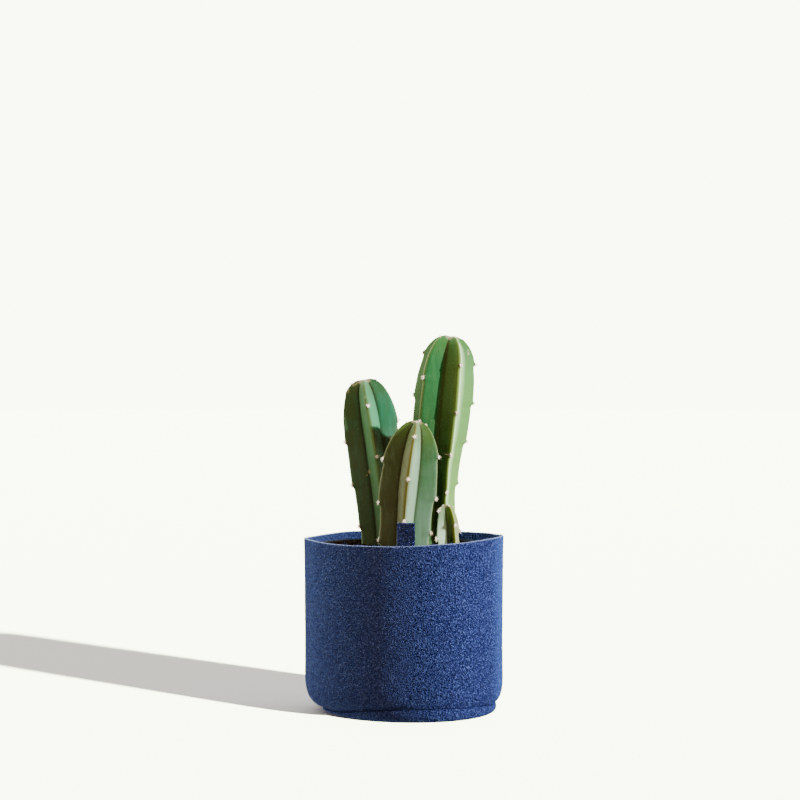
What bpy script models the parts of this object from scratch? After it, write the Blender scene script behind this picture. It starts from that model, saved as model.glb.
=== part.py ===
"""Potted blue myrtle cactus: four ribbed stems in a nursery pot, inside a sewn cover of blue felt.

Metres, +Z up. The origin is at the middle of the cover, on the surface it stands on. The front faces -Y.
An azimuth is an angle about the vertical: 0 at the front, 90 degrees at the right, at +X.
"""

from collections import namedtuple
from math import asin, cos, hypot, pi, radians, sin, sqrt

import bmesh
import bpy
from mathutils import Matrix, Vector, noise

# Clearance that touching pieces keep.
GAP = 0.0003

# Felt cover. The pairs are an azimuth in degrees and the size there.
FELT = 0.0025
COVER_TOP_RADIUS = 0.0651
COVER_RADIUS = 0.0644
FLARE_HEIGHT = 0.080
RIM_HEIGHT = (
    (-146, 0.1122),
    (-110, 0.1110),
    (-72, 0.1118),
    (-41, 0.1108),
    (-5, 0.1106),
    (25, 0.1117),
    (68, 0.1135),
    (110, 0.1126),
    (180, 0.1120),
)
CORNER_HEIGHT = (
    (-150, 0.022),
    (-85, 0.024),
    (-20, 0.021),
    (90, 0.021),
)
CORNER_PULL = (
    (-150, 0.008),
    (-85, 0.004),
    (-20, 0.010),
    (20, 0.013),
    (90, 0.009),
)
SEAM_RADIUS = (
    (-150, 0.0565),
    (-90, 0.0530),
    (-50, 0.0520),
    (-12, 0.0592),
    (20, 0.0615),
    (90, 0.0601),
    (150, 0.0590),
)
SEAM_HEIGHT = (
    (-150, 0.0032),
    (-95, 0.0024),
    (-55, 0.0026),
    (-18, 0.0074),
    (10, 0.0087),
    (42, 0.0078),
    (85, 0.0050),
)
FLOOR_RADIUS = (
    (-150, 0.0530),
    (-90, 0.0500),
    (-45, 0.0470),
    (8, 0.0555),
    (38, 0.0588),
    (90, 0.0575),
    (150, 0.0560),
)
HEM = 0.006
SEAM_ROUND = 0.0007
BACK_SEAM_DEPTH = 0.0008
BACK_SEAM_HALF_ANGLE = 0.7
COVER_STEPS = 64

# Points along the curves of the cover's bottom corner, and how far the base's edge bulges and dishes,
# as shares of its height.
OUTER_CORNER_SHARES = (0.0, 0.3, 0.55, 0.8)
INNER_CORNER_SHARES = (0.55, 0.25, 0.0)
BASE_EDGE_SHARES = (0.0, 0.35, 0.7, 1.0)
BASE_BULGE = 0.12
BASE_LOW_PULL = 0.05
DISH_SLANT = 0.60
DISH_LIFT = 0.35
FLAT_INSET = 0.002

# Felt tab behind the front of the rim.
TAG_WIDTH = 0.0112
TAG_THICKNESS = 0.0020
TAG_BOTTOM = 0.088
TAG_TOP = 0.125
TAG_X = 0.0012
TAG_BEVEL = 0.0004

# Nursery pot, pushed back a little in the cover by the tab.
POT_Y = 0.0012
POT_WALL = 0.0010
POT_FLOOR_RADIUS = 0.0430
POT_TOP_RADIUS = 0.0578
POT_RIM_RADIUS = 0.0600
POT_RIM_WALL = 0.0016
POT_RIM_BOTTOM = 0.0960
POT_TOP = 0.1072
POT_STEPS = 48
DRAIN_RADIUS = 0.0035
DRAIN_RING = 0.0330
DRAIN_COUNT = 6
DRAIN_SIDES = 12

# Soil.
SOIL_EDGE = 0.1052
SOIL_CROWN = 0.0010
SOIL_RELIEF = 0.0009
SOIL_LUMP = 0.007
SOIL_RINGS = 5

# Ribbed outline of a stem, as shares of the distance from its middle to a crest.
SHARP_REACH = 1.13
CREST_ROUND = 0.12
FLANK_BULGE = 0.035
OUTLINE_STEPS = (0.0, 0.13, 0.38, 0.68, 1.0)

# Stem below the soil.
ROOT_TAPER = 0.60
ROOT_ROUND = 0.006
ROOT_END = ((0.7, 0.82), (1.0, 0.45))
HOLE_CLEARANCE = 0.0005
HOLE_ABOVE_SOIL = 0.019

# Rings of a stem: distances from the tip in the dome, then even steps.
DOME_RINGS = (0.0003, 0.0014, 0.0034, 0.0068, 0.0118, 0.0185, 0.0270)
RING_STEP = 0.0120
BURIED_RINGS = 2
SLOPE_STEP = 0.0002
TIP_FILL = 0.5

# Wool cushions and spines on the crests.
CUSHION = (0.0013, 0.0010, 0.0016)
CUSHION_SUNK = 0.0003
SPINE_RADIUS = 0.00035
SPINE_LENGTH = 0.0026
SPINE_LEANS = (26, 34, 41)
SPINE_SHORTENING = 0.18
CREST_STEP = 0.001
SOIL_MARGIN = 0.004
WELD = 1e-6

# One stem. foot, bend and tip are the points of its middle line's curve, foot at the soil and tip at the top.
# girth is the reach of its crests at the foot and at its widest, narrowing the distances below the tip
# between which it goes from one to the other. dome is the length of its rounded top and the power that makes
# it blunt. turn is the first rib's azimuth at the tip, and twist how far the ribs turn down the whole stem.
# areoles are the distances of each rib's first cushion from the tip, in the order of the ribs' azimuths.
Stem = namedtuple(
    "Stem", "name foot bend tip girth narrowing dome ribs valley turn twist root areoles spacing"
)

STEMS = (
    Stem(
        name="stem_tall",
        foot=(0.0195, 0.0180, 0.1060),
        bend=(0.0205, 0.0180, 0.1750),
        tip=(0.0311, 0.0180, 0.2440),
        girth=(0.0142, 0.0202),
        narrowing=(0.045, 0.105),
        dome=(0.042, 0.40),
        ribs=5,
        valley=0.52,
        turn=26.0,
        twist=8.0,
        root=0.050,
        areoles=(0.0200, 0.0165, 0.0250, 0.0130, 0.0275),
        spacing=0.0285,
    ),
    Stem(
        name="stem_left",
        foot=(-0.0150, 0.0090, 0.1060),
        bend=(-0.0172, 0.0090, 0.1600),
        tip=(-0.0264, 0.0090, 0.2152),
        girth=(0.0146, 0.0185),
        narrowing=(0.045, 0.105),
        dome=(0.040, 0.40),
        ribs=5,
        valley=0.54,
        turn=-1.0,
        twist=15.0,
        root=0.045,
        areoles=(0.0175, 0.0290, 0.0120, 0.0220, 0.0405),
        spacing=0.0330,
    ),
    Stem(
        name="stem_middle",
        foot=(0.0003, -0.0240, 0.1060),
        bend=(0.0010, -0.0240, 0.1450),
        tip=(0.0084, -0.0240, 0.1882),
        girth=(0.0166, 0.0189),
        narrowing=(0.042, 0.068),
        dome=(0.046, 0.50),
        ribs=5,
        valley=0.54,
        turn=0.5,
        twist=-3.0,
        root=0.040,
        areoles=(0.0098, 0.0230, 0.0140, 0.0170, 0.0258),
        spacing=0.0272,
    ),
    Stem(
        name="stem_small",
        foot=(0.0286, -0.0180, 0.1060),
        bend=(0.0286, -0.0180, 0.1200),
        tip=(0.0270, -0.0180, 0.1342),
        girth=(0.0084, 0.0084),
        narrowing=(0.010, 0.020),
        dome=(0.024, 0.42),
        ribs=4,
        valley=0.44,
        turn=33.0,
        twist=0.0,
        root=0.022,
        areoles=(0.0130, 0.0178, 0.0100, 0.0036),
        spacing=0.0184,
    ),
)

# Colours (sRGB 0 to 1), roughness.
FELT_BLUE = ((0.20, 0.29, 0.48), 0.95)
PLASTIC_BLACK = ((0.05, 0.05, 0.05), 0.45)
SOIL_BROWN = ((0.11, 0.08, 0.06), 0.95)
SKIN_GREEN = ((0.33, 0.47, 0.29), 0.42)


def clear_scene():
    for old in list(bpy.data.objects):
        bpy.data.objects.remove(old, do_unlink=True)


def srgb_to_linear(channel):
    return channel / 12.92 if channel <= 0.04045 else ((channel + 0.055) / 1.055) ** 2.4


def finish_material(name, look):
    colour, roughness = look
    material = bpy.data.materials.new(name)
    material.use_nodes = True
    shader = material.node_tree.nodes["Principled BSDF"]
    shader.inputs["Base Color"].default_value = (*[srgb_to_linear(c) for c in colour], 1.0)
    shader.inputs["Roughness"].default_value = roughness
    shader.inputs["Metallic"].default_value = 0.0
    return material


def add_object(name, bm, look=None, sharp_angle=35):
    """Turn a bmesh into an object, with its faces pointing out."""
    bmesh.ops.recalc_face_normals(bm, faces=bm.faces)
    mesh = bpy.data.meshes.new(name)
    bm.to_mesh(mesh)
    bm.free()
    thing = bpy.data.objects.new(name, mesh)
    bpy.context.scene.collection.objects.link(thing)
    if look:
        mesh.materials.append(finish_material(name, look))
    mesh.shade_smooth()
    mesh.set_sharp_from_angle(angle=radians(sharp_angle))
    return thing


def combine(body, tools, operation):
    """Join tools to a body, or cut them out of it, in one Boolean, and remove them."""
    folder = bpy.data.collections.new(body.name + "_tools")
    for tool in tools:
        bpy.context.scene.collection.objects.unlink(tool)
        folder.objects.link(tool)
    step = body.modifiers.new("combine", "BOOLEAN")
    step.operation = operation
    step.operand_type = "COLLECTION"
    step.collection = folder
    step.solver = "EXACT"
    result = bpy.data.meshes.new_from_object(body.evaluated_get(bpy.context.evaluated_depsgraph_get()))
    body.modifiers.clear()
    body.data = result
    for tool in tools:
        bpy.data.objects.remove(tool, do_unlink=True)
    bpy.data.collections.remove(folder)


def new_ring(bm, points):
    """Start a closed ring of edges through points."""
    ring = [bm.verts.new(point) for point in points]
    for index, vertex in enumerate(ring):
        bm.edges.new((ring[index - 1], vertex))
    return ring


def extrude_ring(bm, ring, points):
    """Extrude a closed ring of edges to new points, and return the new ring in the same order."""
    edges = [bm.edges.get((ring[index - 1], vertex)) for index, vertex in enumerate(ring)]
    made = set(bmesh.ops.extrude_edge_only(bm, edges=edges)["geom"])
    moved = []
    for vertex, point in zip(ring, points):
        twin = next(edge.other_vert(vertex) for edge in vertex.link_edges if edge.other_vert(vertex) in made)
        twin.co = point
        moved.append(twin)
    return moved


def close_sweep(bm, first, last):
    """Bridge the last ring of a sweep back to the first."""
    ends = []
    for ring in (first, last):
        ends += [bm.edges.get((ring[index - 1], vertex)) for index, vertex in enumerate(ring)]
    bmesh.ops.bridge_loops(bm, edges=ends)


def ease(share):
    """Smooth step from 0 to 1."""
    share = min(max(share, 0.0), 1.0)
    return share * share * (3 - 2 * share)


def around(keys, azimuth):
    """Value at an azimuth, on a smooth curve through the keyed azimuths all round."""
    laps = [(angle + lap, value) for lap in (-360, 0, 360) for angle, value in keys]
    spans = zip(laps, laps[1:], laps[2:], laps[3:])
    before, start, end, after = next(span for span in spans if span[1][0] <= azimuth <= span[2][0])
    width = end[0] - start[0]
    start_slope = (end[1] - before[1]) / (end[0] - before[0]) * width
    end_slope = (after[1] - start[1]) / (after[0] - start[0]) * width
    share = (azimuth - start[0]) / width
    return (
        start[1] + (end[1] - start[1]) * ease(share)
        + start_slope * share * (1 - share) ** 2
        - end_slope * share * share * (1 - share)
    )


def curve_point(start, pull, end, share):
    """Point of a quadratic curve, in any number of dimensions."""
    rest = 1 - share
    return [rest * rest * a + 2 * rest * share * b + share * share * c for a, b, c in zip(start, pull, end)]


def compass(azimuth):
    """Horizontal direction at an azimuth."""
    angle = radians(azimuth)
    return Vector((sin(angle), -cos(angle), 0))


def cover_azimuths():
    """Azimuths round the cover, with three close together at the seam down its back."""
    even = [-180 + 360 * index / COVER_STEPS for index in range(COVER_STEPS)]
    return sorted(even + [-180 + BACK_SEAM_HALF_ANGLE, 180 - BACK_SEAM_HALF_ANGLE])


def wall_outline(azimuth):
    """Closed (radius, height) outline of the side: down its outside, in at the seam, up its inside."""
    rim = around(RIM_HEIGHT, azimuth)
    corner = around(CORNER_HEIGHT, azimuth)
    seam = (around(SEAM_RADIUS, azimuth), around(SEAM_HEIGHT, azimuth) + GAP)
    pull = (COVER_RADIUS, around(CORNER_PULL, azimuth))
    groove = BACK_SEAM_DEPTH if azimuth == -180 else 0.0
    outside = [(COVER_TOP_RADIUS, rim), (COVER_RADIUS, FLARE_HEIGHT)]
    outside += [curve_point((COVER_RADIUS, corner), pull, seam, share) for share in OUTER_CORNER_SHARES]
    outside = [(radius - groove, height) for radius, height in outside]
    hem = seam[0] - HEM
    turned = [(seam[0], seam[1] + SEAM_ROUND), (seam[0] - SEAM_ROUND, seam[1]), (hem, seam[1])]
    inner_seam = (seam[0] - FELT, seam[1] + FELT)
    inner_pull = (COVER_RADIUS - FELT, max(pull[1], seam[1] + FELT))
    inner_start = (COVER_RADIUS - FELT, corner)
    inside = [(hem, seam[1] + FELT), inner_seam]
    inside += [curve_point(inner_start, inner_pull, inner_seam, share) for share in INNER_CORNER_SHARES]
    inside += [(COVER_RADIUS - FELT, FLARE_HEIGHT), (COVER_TOP_RADIUS - FELT, rim)]
    return outside + turned + inside


def base_outline(azimuth):
    """Radii and heights from the middle of the base's underside, out to the seam and back over its top."""
    floor = around(FLOOR_RADIUS, azimuth)
    seam = (around(SEAM_RADIUS, azimuth), around(SEAM_HEIGHT, azimuth))
    height = seam[1]
    pull = (seam[0] + BASE_BULGE * height, BASE_LOW_PULL * height)
    top = (seam[0], height - SEAM_ROUND)
    outside = [curve_point((floor, 0), pull, top, share) for share in BASE_EDGE_SHARES]
    edge = [(seam[0] - SEAM_ROUND, height), (seam[0] - FELT, height)]
    lift = max(height - FELT, 0.0)
    dish = (seam[0] - FELT - DISH_SLANT * lift, min(height, FELT + DISH_LIFT * lift))
    flat = (min(floor, seam[0] - HEM) - FLAT_INSET, FELT)
    return outside + edge + [dish, flat]


def felt_wall():
    bm = bmesh.new()
    rings = [
        [compass(azimuth) * radius + Vector((0, 0, height)) for radius, height in wall_outline(azimuth)]
        for azimuth in cover_azimuths()
    ]
    first = ring = new_ring(bm, rings[0])
    for points in rings[1:]:
        ring = extrude_ring(bm, ring, points)
    close_sweep(bm, first, ring)
    add_object("felt_wall", bm, FELT_BLUE)


def felt_base():
    bm = bmesh.new()
    outlines = [(compass(azimuth), base_outline(azimuth)) for azimuth in cover_azimuths()]
    rings = [
        [direction * outline[step][0] + Vector((0, 0, outline[step][1])) for direction, outline in outlines]
        for step in range(len(outlines[0][1]))
    ]
    first = ring = new_ring(bm, rings[0])
    for points in rings[1:]:
        ring = extrude_ring(bm, ring, points)
    bm.faces.new(first)
    bm.faces.new(ring)
    add_object("felt_base", bm, FELT_BLUE)


def felt_tag():
    """Flat tab against the inside of the cover's front."""
    bm = bmesh.new()
    bmesh.ops.create_cube(bm, size=1.0)
    size = Matrix.Diagonal((TAG_WIDTH, TAG_THICKNESS, TAG_TOP - TAG_BOTTOM, 1))
    half_width = abs(TAG_X) + TAG_WIDTH / 2
    wall_depth = sqrt((COVER_RADIUS - FELT) ** 2 - half_width**2)
    middle = Vector((TAG_X, -wall_depth + GAP + TAG_THICKNESS / 2, (TAG_TOP + TAG_BOTTOM) / 2))
    bmesh.ops.transform(bm, matrix=Matrix.Translation(middle) @ size, verts=bm.verts)
    bmesh.ops.bevel(
        bm, geom=bm.edges[:], offset=TAG_BEVEL, affect="EDGES", segments=1, profile=0.5, material=-1
    )
    add_object("felt_tag", bm, FELT_BLUE)


def pot_inner_radius(height):
    """Inner radius of the nursery pot's tapered wall."""
    foot = FELT + GAP
    share = (height - foot) / (POT_RIM_BOTTOM - foot)
    return POT_FLOOR_RADIUS + (POT_TOP_RADIUS - POT_FLOOR_RADIUS) * share - POT_WALL


def nursery_pot():
    foot = FELT + GAP
    floor_top = foot + POT_WALL
    shoulder = POT_RIM_BOTTOM + POT_WALL
    rim_inner = POT_RIM_RADIUS - POT_RIM_WALL
    bm = bmesh.new()
    profile = [
        (0, foot),
        (POT_FLOOR_RADIUS, foot),
        (POT_TOP_RADIUS, POT_RIM_BOTTOM),
        (POT_RIM_RADIUS, POT_RIM_BOTTOM),
        (POT_RIM_RADIUS, POT_TOP),
        (rim_inner, POT_TOP),
        (rim_inner, shoulder),
        (POT_TOP_RADIUS - POT_WALL, shoulder),
        (pot_inner_radius(floor_top), floor_top),
        (0, floor_top),
    ]
    centre = Vector((0, POT_Y, 0))
    ring = [bm.verts.new(centre + Vector((radius, 0, height))) for radius, height in profile]
    edges = [bm.edges.new(pair) for pair in zip(ring, ring[1:])]
    bmesh.ops.spin(
        bm, geom=ring + edges, cent=centre, axis=(0, 0, 1), angle=2 * pi, steps=POT_STEPS, use_merge=True
    )
    bmesh.ops.remove_doubles(bm, verts=bm.verts, dist=WELD)
    pot = add_object("nursery_pot", bm, PLASTIC_BLACK)
    drains = []
    for index in range(DRAIN_COUNT):
        hole = bmesh.new()
        place = centre + DRAIN_RING * compass(360 * index / DRAIN_COUNT) + Vector((0, 0, foot))
        bmesh.ops.create_cone(
            hole,
            cap_ends=True,
            segments=DRAIN_SIDES,
            radius1=DRAIN_RADIUS,
            radius2=DRAIN_RADIUS,
            depth=6 * POT_WALL,
            matrix=Matrix.Translation(place),
        )
        drains.append(add_object("drain", hole))
    combine(pot, drains, "DIFFERENCE")


def soil_height(point):
    """Height of the soil's surface: a low crown with lumps."""
    share = min(hypot(point.x, point.y - POT_Y) / POT_TOP_RADIUS, 1.0)
    crown = SOIL_EDGE + SOIL_CROWN * (1 - share * share)
    return crown + SOIL_RELIEF * noise.noise(Vector((point.x, point.y, 0)) / SOIL_LUMP)


def soil():
    """Soil that fills the nursery pot, with a plain hole for each stem."""
    centre = Vector((0, POT_Y, 0))
    bottom = FELT + 2 * GAP + POT_WALL
    shoulder = POT_RIM_BOTTOM + POT_WALL + GAP
    edge_radius = POT_RIM_RADIUS - POT_RIM_WALL - GAP
    turns = [compass(360 * index / POT_STEPS) for index in range(POT_STEPS)]

    def ring_points(radius, height=None):
        points = [centre + radius * turn for turn in turns]
        for point in points:
            point.z = soil_height(point) if height is None else height
        return points

    bm = bmesh.new()
    first = ring = new_ring(bm, ring_points(pot_inner_radius(bottom) - GAP, bottom))
    ring = extrude_ring(bm, ring, ring_points(pot_inner_radius(POT_RIM_BOTTOM) - GAP, shoulder))
    ring = extrude_ring(bm, ring, ring_points(edge_radius, shoulder))
    for index in range(SOIL_RINGS):
        ring = extrude_ring(bm, ring, ring_points(edge_radius * (1 - index / SOIL_RINGS)))
    bm.faces.new(first)
    middle = ring_points(0.0)
    bmesh.ops.pointmerge(bm, verts=extrude_ring(bm, ring, middle), merge_co=middle[0])
    ground = add_object("soil", bm, SOIL_BROWN, sharp_angle=60)
    combine(ground, [stem_hole(stem) for stem in STEMS], "DIFFERENCE")


def stem_length(stem):
    foot, bend, tip = (Vector(point) for point in (stem.foot, stem.bend, stem.tip))
    return (bend - foot).length + (tip - bend).length


def stem_frame(stem, below_tip):
    """Middle of the stem at a distance below its tip, and the sideways, backward and upward directions."""
    foot, bend, tip = (Vector(point) for point in (stem.foot, stem.bend, stem.tip))
    share = 1 - below_tip / stem_length(stem)
    if share < 0:
        upward = (bend - foot).normalized()
        middle = foot + upward * share * stem_length(stem)
    else:
        upward = ((bend - foot) * (1 - share) + (tip - bend) * share).normalized()
        middle = Vector(curve_point(foot, bend, tip, share))
    sideways = (Vector((1, 0, 0)) - upward * upward.x).normalized()
    return middle, sideways, upward.cross(sideways), upward


def crest_reach(stem, below_tip):
    """Distance from the stem's middle line to its crests."""
    foot_girth, full_girth = stem.girth
    start, end = stem.narrowing
    girth = full_girth + (foot_girth - full_girth) * ease((below_tip - start) / (end - start))
    dome_length, power = stem.dome
    if below_tip < dome_length:
        girth *= (1 - (1 - below_tip / dome_length) ** 3) ** power
    buried = below_tip - stem_length(stem)
    if buried > 0:
        girth *= 1 - (1 - ROOT_TAPER) * buried / stem.root
    return girth


def outline_reach(stem, angle):
    """Reach of the ribbed outline at an angle from a crest, as a share of the crest's own reach."""
    half_pitch = pi / stem.ribs
    flank = SHARP_REACH * stem.valley * sin(half_pitch)
    flank /= SHARP_REACH * sin(angle) + stem.valley * sin(half_pitch - angle)
    flank += FLANK_BULGE * sin(pi * angle / half_pitch)
    middle = 1 - CREST_ROUND
    if angle >= asin(CREST_ROUND / middle):
        return flank
    return min(flank, middle * cos(angle) + sqrt(CREST_ROUND**2 - (middle * sin(angle)) ** 2))


def rib_azimuth(stem, rib, below_tip):
    return stem.turn + stem.twist * below_tip / stem_length(stem) + 360 * rib / stem.ribs


def surface_point(stem, below_tip, rib, angle, extra=0.0):
    """Point of the skin at an angle (radians) from a rib's crest, valleys sunk square to the crests' line."""
    reach = crest_reach(stem, below_tip)
    slope = (crest_reach(stem, below_tip + SLOPE_STEP) - reach) / SLOPE_STEP
    slope = max(slope, 0.0) if below_tip < stem.dome[0] else 0.0
    depth = reach * (1 - outline_reach(stem, abs(angle)))
    level = hypot(1, slope)
    middle, sideways, backward, upward = stem_frame(stem, below_tip)
    turn = radians(rib_azimuth(stem, rib, below_tip)) + angle
    outward = sideways * sin(turn) - backward * cos(turn)
    return middle + outward * (reach - depth / level + extra) - upward * depth * slope / level


def stem_ring(stem, below_tip, extra=0.0, narrowed=1.0):
    """Points of the ribbed outline at a distance below the tip, once round from the first rib."""
    half_pitch = pi / stem.ribs
    angles = [-half_pitch * share for share in reversed(OUTLINE_STEPS[1:-1])]
    angles += [half_pitch * share for share in OUTLINE_STEPS]
    points = [
        surface_point(stem, below_tip, rib, angle, extra) for rib in range(stem.ribs) for angle in angles
    ]
    middle = stem_frame(stem, below_tip)[0]
    return [middle + (point - middle) * narrowed for point in points]


def ring_distances(stem, start):
    """Distances below the tip of the rings from start to the rooted end, closer together above the soil."""
    last_dome = DOME_RINGS[-1] if DOME_RINGS[-1] < stem_length(stem) else DOME_RINGS[-2]
    ground = stem_length(stem)
    steps = max(round((ground - last_dome) / RING_STEP), 1)
    shown = [last_dome + (ground - last_dome) * (index + 1) / steps for index in range(steps)]
    root = stem.root - ROOT_ROUND
    buried = [ground + root * (index + 1) / BURIED_RINGS for index in range(BURIED_RINGS)]
    dome = [distance for distance in DOME_RINGS if distance <= last_dome]
    return [distance for distance in (*dome, *shown, *buried) if distance >= start]


def stem_body(stem, start=0.0, extra=0.0):
    """Ribbed body from start (a distance below the tip) to the rounded root end, grown by extra."""
    bm = bmesh.new()
    distances = ring_distances(stem, start)
    top = ring = new_ring(bm, stem_ring(stem, distances[0], extra))
    for distance in distances[1:]:
        ring = extrude_ring(bm, ring, stem_ring(stem, distance, extra))
    for share, narrowed in ROOT_END:
        end = distances[-1] + share * (ROOT_ROUND + extra)
        ring = extrude_ring(bm, ring, stem_ring(stem, end, extra, narrowed))
    bm.faces.new(ring)
    if start > 0:
        bm.faces.new(top)
    else:
        middle = stem_frame(stem, 2 * DOME_RINGS[0])[0]
        cap = extrude_ring(bm, top, stem_ring(stem, DOME_RINGS[0], narrowed=TIP_FILL))
        bmesh.ops.pointmerge(bm, verts=cap, merge_co=middle)
    return bm


def stem_hole(stem):
    """Cutter for the stem's hole in the soil."""
    start = stem_length(stem) - HOLE_ABOVE_SOIL
    hole = add_object(stem.name + "_hole", stem_body(stem, start, HOLE_CLEARANCE))
    hole.hide_render = True
    hole.display_type = "WIRE"
    return hole


def cushion_places(stem):
    """Place and outward, upward and sideways directions of each wool cushion above the soil."""
    for rib, first in enumerate(stem.areoles):
        below_tip = first
        while below_tip < stem_length(stem) - SOIL_MARGIN:
            place = surface_point(stem, below_tip, rib, 0.0)
            along = surface_point(stem, below_tip - CREST_STEP, rib, 0.0) - place
            middle = stem_frame(stem, below_tip)[0]
            upward = along.normalized()
            sideways = upward.cross(place - middle).normalized()
            yield place, sideways.cross(upward), upward, sideways
            below_tip += stem.spacing


def cushion_and_spines(place, outward, upward, sideways, index):
    """One wool cushion, and the short spines that stand out of it."""
    frame = Matrix((sideways, outward, upward)).transposed().to_4x4()
    frame.translation = place - outward * CUSHION_SUNK
    pad = bmesh.new()
    bmesh.ops.create_icosphere(pad, subdivisions=1, radius=1.0, matrix=frame @ Matrix.Diagonal((*CUSHION, 1)))
    pieces = [add_object("cushion", pad)]
    for number, degrees in enumerate(SPINE_LEANS):
        spin = 2 * pi * number / len(SPINE_LEANS) + index
        lean = radians(degrees)
        direction = outward * cos(lean) + (sideways * cos(spin) + upward * sin(spin)) * sin(lean)
        tilt = direction.to_track_quat("Z", "Y").to_matrix().to_4x4()
        length = SPINE_LENGTH * (1 - SPINE_SHORTENING * number)
        spine = bmesh.new()
        bmesh.ops.create_cone(
            spine,
            cap_ends=True,
            segments=3,
            radius1=SPINE_RADIUS,
            radius2=0.0,
            depth=length,
            matrix=Matrix.Translation(frame.translation + direction * length / 2) @ tilt,
        )
        bmesh.ops.remove_doubles(spine, verts=spine.verts, dist=WELD)
        pieces.append(add_object("spine", spine))
    return pieces


def build_stem(stem):
    body = add_object(stem.name, stem_body(stem), SKIN_GREEN)
    grown = []
    for index, spot in enumerate(cushion_places(stem)):
        grown += cushion_and_spines(*spot, index)
    combine(body, grown, "UNION")


clear_scene()
felt_base()
felt_wall()
felt_tag()
nursery_pot()
soil()
for cactus_stem in STEMS:
    build_stem(cactus_stem)
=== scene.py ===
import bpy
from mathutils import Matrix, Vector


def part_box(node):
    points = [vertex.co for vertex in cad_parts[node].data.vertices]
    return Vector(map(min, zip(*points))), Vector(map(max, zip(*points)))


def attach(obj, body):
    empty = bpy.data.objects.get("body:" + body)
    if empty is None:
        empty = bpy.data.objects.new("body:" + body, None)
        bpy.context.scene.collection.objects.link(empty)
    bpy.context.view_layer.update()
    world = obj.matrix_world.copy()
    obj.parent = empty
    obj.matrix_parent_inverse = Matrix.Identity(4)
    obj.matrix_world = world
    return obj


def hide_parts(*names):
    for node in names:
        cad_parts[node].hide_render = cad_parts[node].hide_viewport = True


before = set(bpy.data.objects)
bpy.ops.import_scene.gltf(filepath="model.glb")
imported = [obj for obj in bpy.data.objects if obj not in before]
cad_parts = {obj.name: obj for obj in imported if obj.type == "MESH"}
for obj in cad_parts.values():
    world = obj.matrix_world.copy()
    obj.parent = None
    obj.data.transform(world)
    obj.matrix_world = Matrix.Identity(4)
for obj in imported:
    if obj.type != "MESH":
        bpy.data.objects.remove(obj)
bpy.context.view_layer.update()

# Looks of the potted blue myrtle cactus. Metres, +Z up, front at -Y.
# An azimuth is an angle about the vertical: 0 at the front, 90 degrees at the right, at +X.
from collections import namedtuple
from functools import cache
from math import asin, atan2, copysign, cos, degrees, exp, hypot, pi, radians, sin, sqrt
from random import Random

import bmesh
import bpy
import numpy as np
from mathutils import Matrix, Vector, noise

MM = 0.001

# Camera: level, in front of the object, with the photograph's long lens.
CAMERA_PLACE = (-2.5 * MM, -1.271, 201.3 * MM)
CAMERA_LENS_MM = 87.75
SENSOR_MM = 36.0
CAMERA_NEAR = 50 * MM

# Light. The suns stand low at the right front, and the white backdrop fills from behind. Each sun is a
# name, its azimuth and height in degrees, its power and its colour, and lights only its own pieces:
# second_key the left stem, cover_key the felt cover, tag_key its tab, wool_key the wool and spines,
# floor_key the floor, key the rest.
SUNS = (
    ("key", 64.0, 12.0, 6.0, (1.0, 1.0, 1.0)),
    ("second_key", 56.0, 7.2, 6.0, (1.0, 1.0, 1.0)),
    ("cover_key", 76.0, 12.0, 4.3, (1.0, 1.0, 1.0)),
    ("tag_key", 84.0, 12.0, 1.8, (1.0, 1.0, 1.0)),
    ("wool_key", 35.0, 18.0, 12.0, (1.0, 0.97, 0.88)),
    ("floor_key", 46.0, 12.0, 425.0, (0.853, 1.0, 0.581)),
)
SUN_SIZE = 2.0
BACKDROP_LIGHT = (4.6, 4.8, 4.1, 1.0)
FRONT_LIGHT = (0.92, 0.64, 0.45, 1.0)
BACKDROP_SEEN = (9.55, 10.7, 7.35, 1.0)
BACKDROP_EDGE = (-0.15, 0.25)
HORIZON = (-0.1, 0.1)
LIGHT_FROM_BELOW = 0.3
FLOOR_SIZE = 40.0
FLOOR_DROP = 0.05 * MM

# Felt cover, as in the solids. The pairs are an azimuth in degrees and the size there.
FELT = 2.5 * MM
GAP = 0.3 * MM
COVER_TOP_RADIUS = 65.1 * MM
COVER_RADIUS = 64.4 * MM
FLARE_HEIGHT = 80 * MM
RIM_HEIGHT = (
    (-146, 0.1122), (-110, 0.1110), (-72, 0.1118), (-41, 0.1108), (-5, 0.1106),
    (25, 0.1117), (68, 0.1135), (110, 0.1126), (180, 0.1120),
)
CORNER_HEIGHT = ((-150, 0.022), (-85, 0.024), (-20, 0.021), (90, 0.021))
CORNER_PULL = ((-150, 0.008), (-85, 0.004), (-20, 0.010), (20, 0.013), (90, 0.009))
SEAM_RADIUS = (
    (-150, 0.0565), (-90, 0.0530), (-50, 0.0520), (-12, 0.0592), (20, 0.0615), (90, 0.0601), (150, 0.0590),
)
SEAM_HEIGHT = (
    (-150, 0.0032), (-95, 0.0024), (-55, 0.0026), (-18, 0.0074), (10, 0.0087), (42, 0.0078), (85, 0.0050),
)
FLOOR_RADIUS = (
    (-150, 0.0530), (-90, 0.0500), (-45, 0.0470), (8, 0.0555), (38, 0.0588), (90, 0.0575), (150, 0.0560),
)
HEM = 6 * MM
CREASE_ROUND = 0.9 * MM
EDGE_ROUND = 0.6 * MM
BASE_BULGE = 0.12
BASE_LOW_PULL = 0.05
DISH_SLANT = 0.60
DISH_LIFT = 0.35
FLAT_INSET = 2 * MM
BASE_MIDDLE = 4 * MM
COVER_STEPS = 256
FELT_SWELL = 0.30 * MM
FELT_SWELL_SIZE = 30 * MM
SWELL_START = 9 * MM
SWELL_FADE = 8 * MM
RIM_WAVE = 0.20 * MM
RIM_WAVE_SIZE = 12 * MM
# How far the painted highlight reaches from a cut edge of the felt.
EDGE_HIGHLIGHT = 0.7 * MM
# How far across the painted shade on the inner wall's left side fades in.
INSIDE_FADE = 30 * MM
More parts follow.
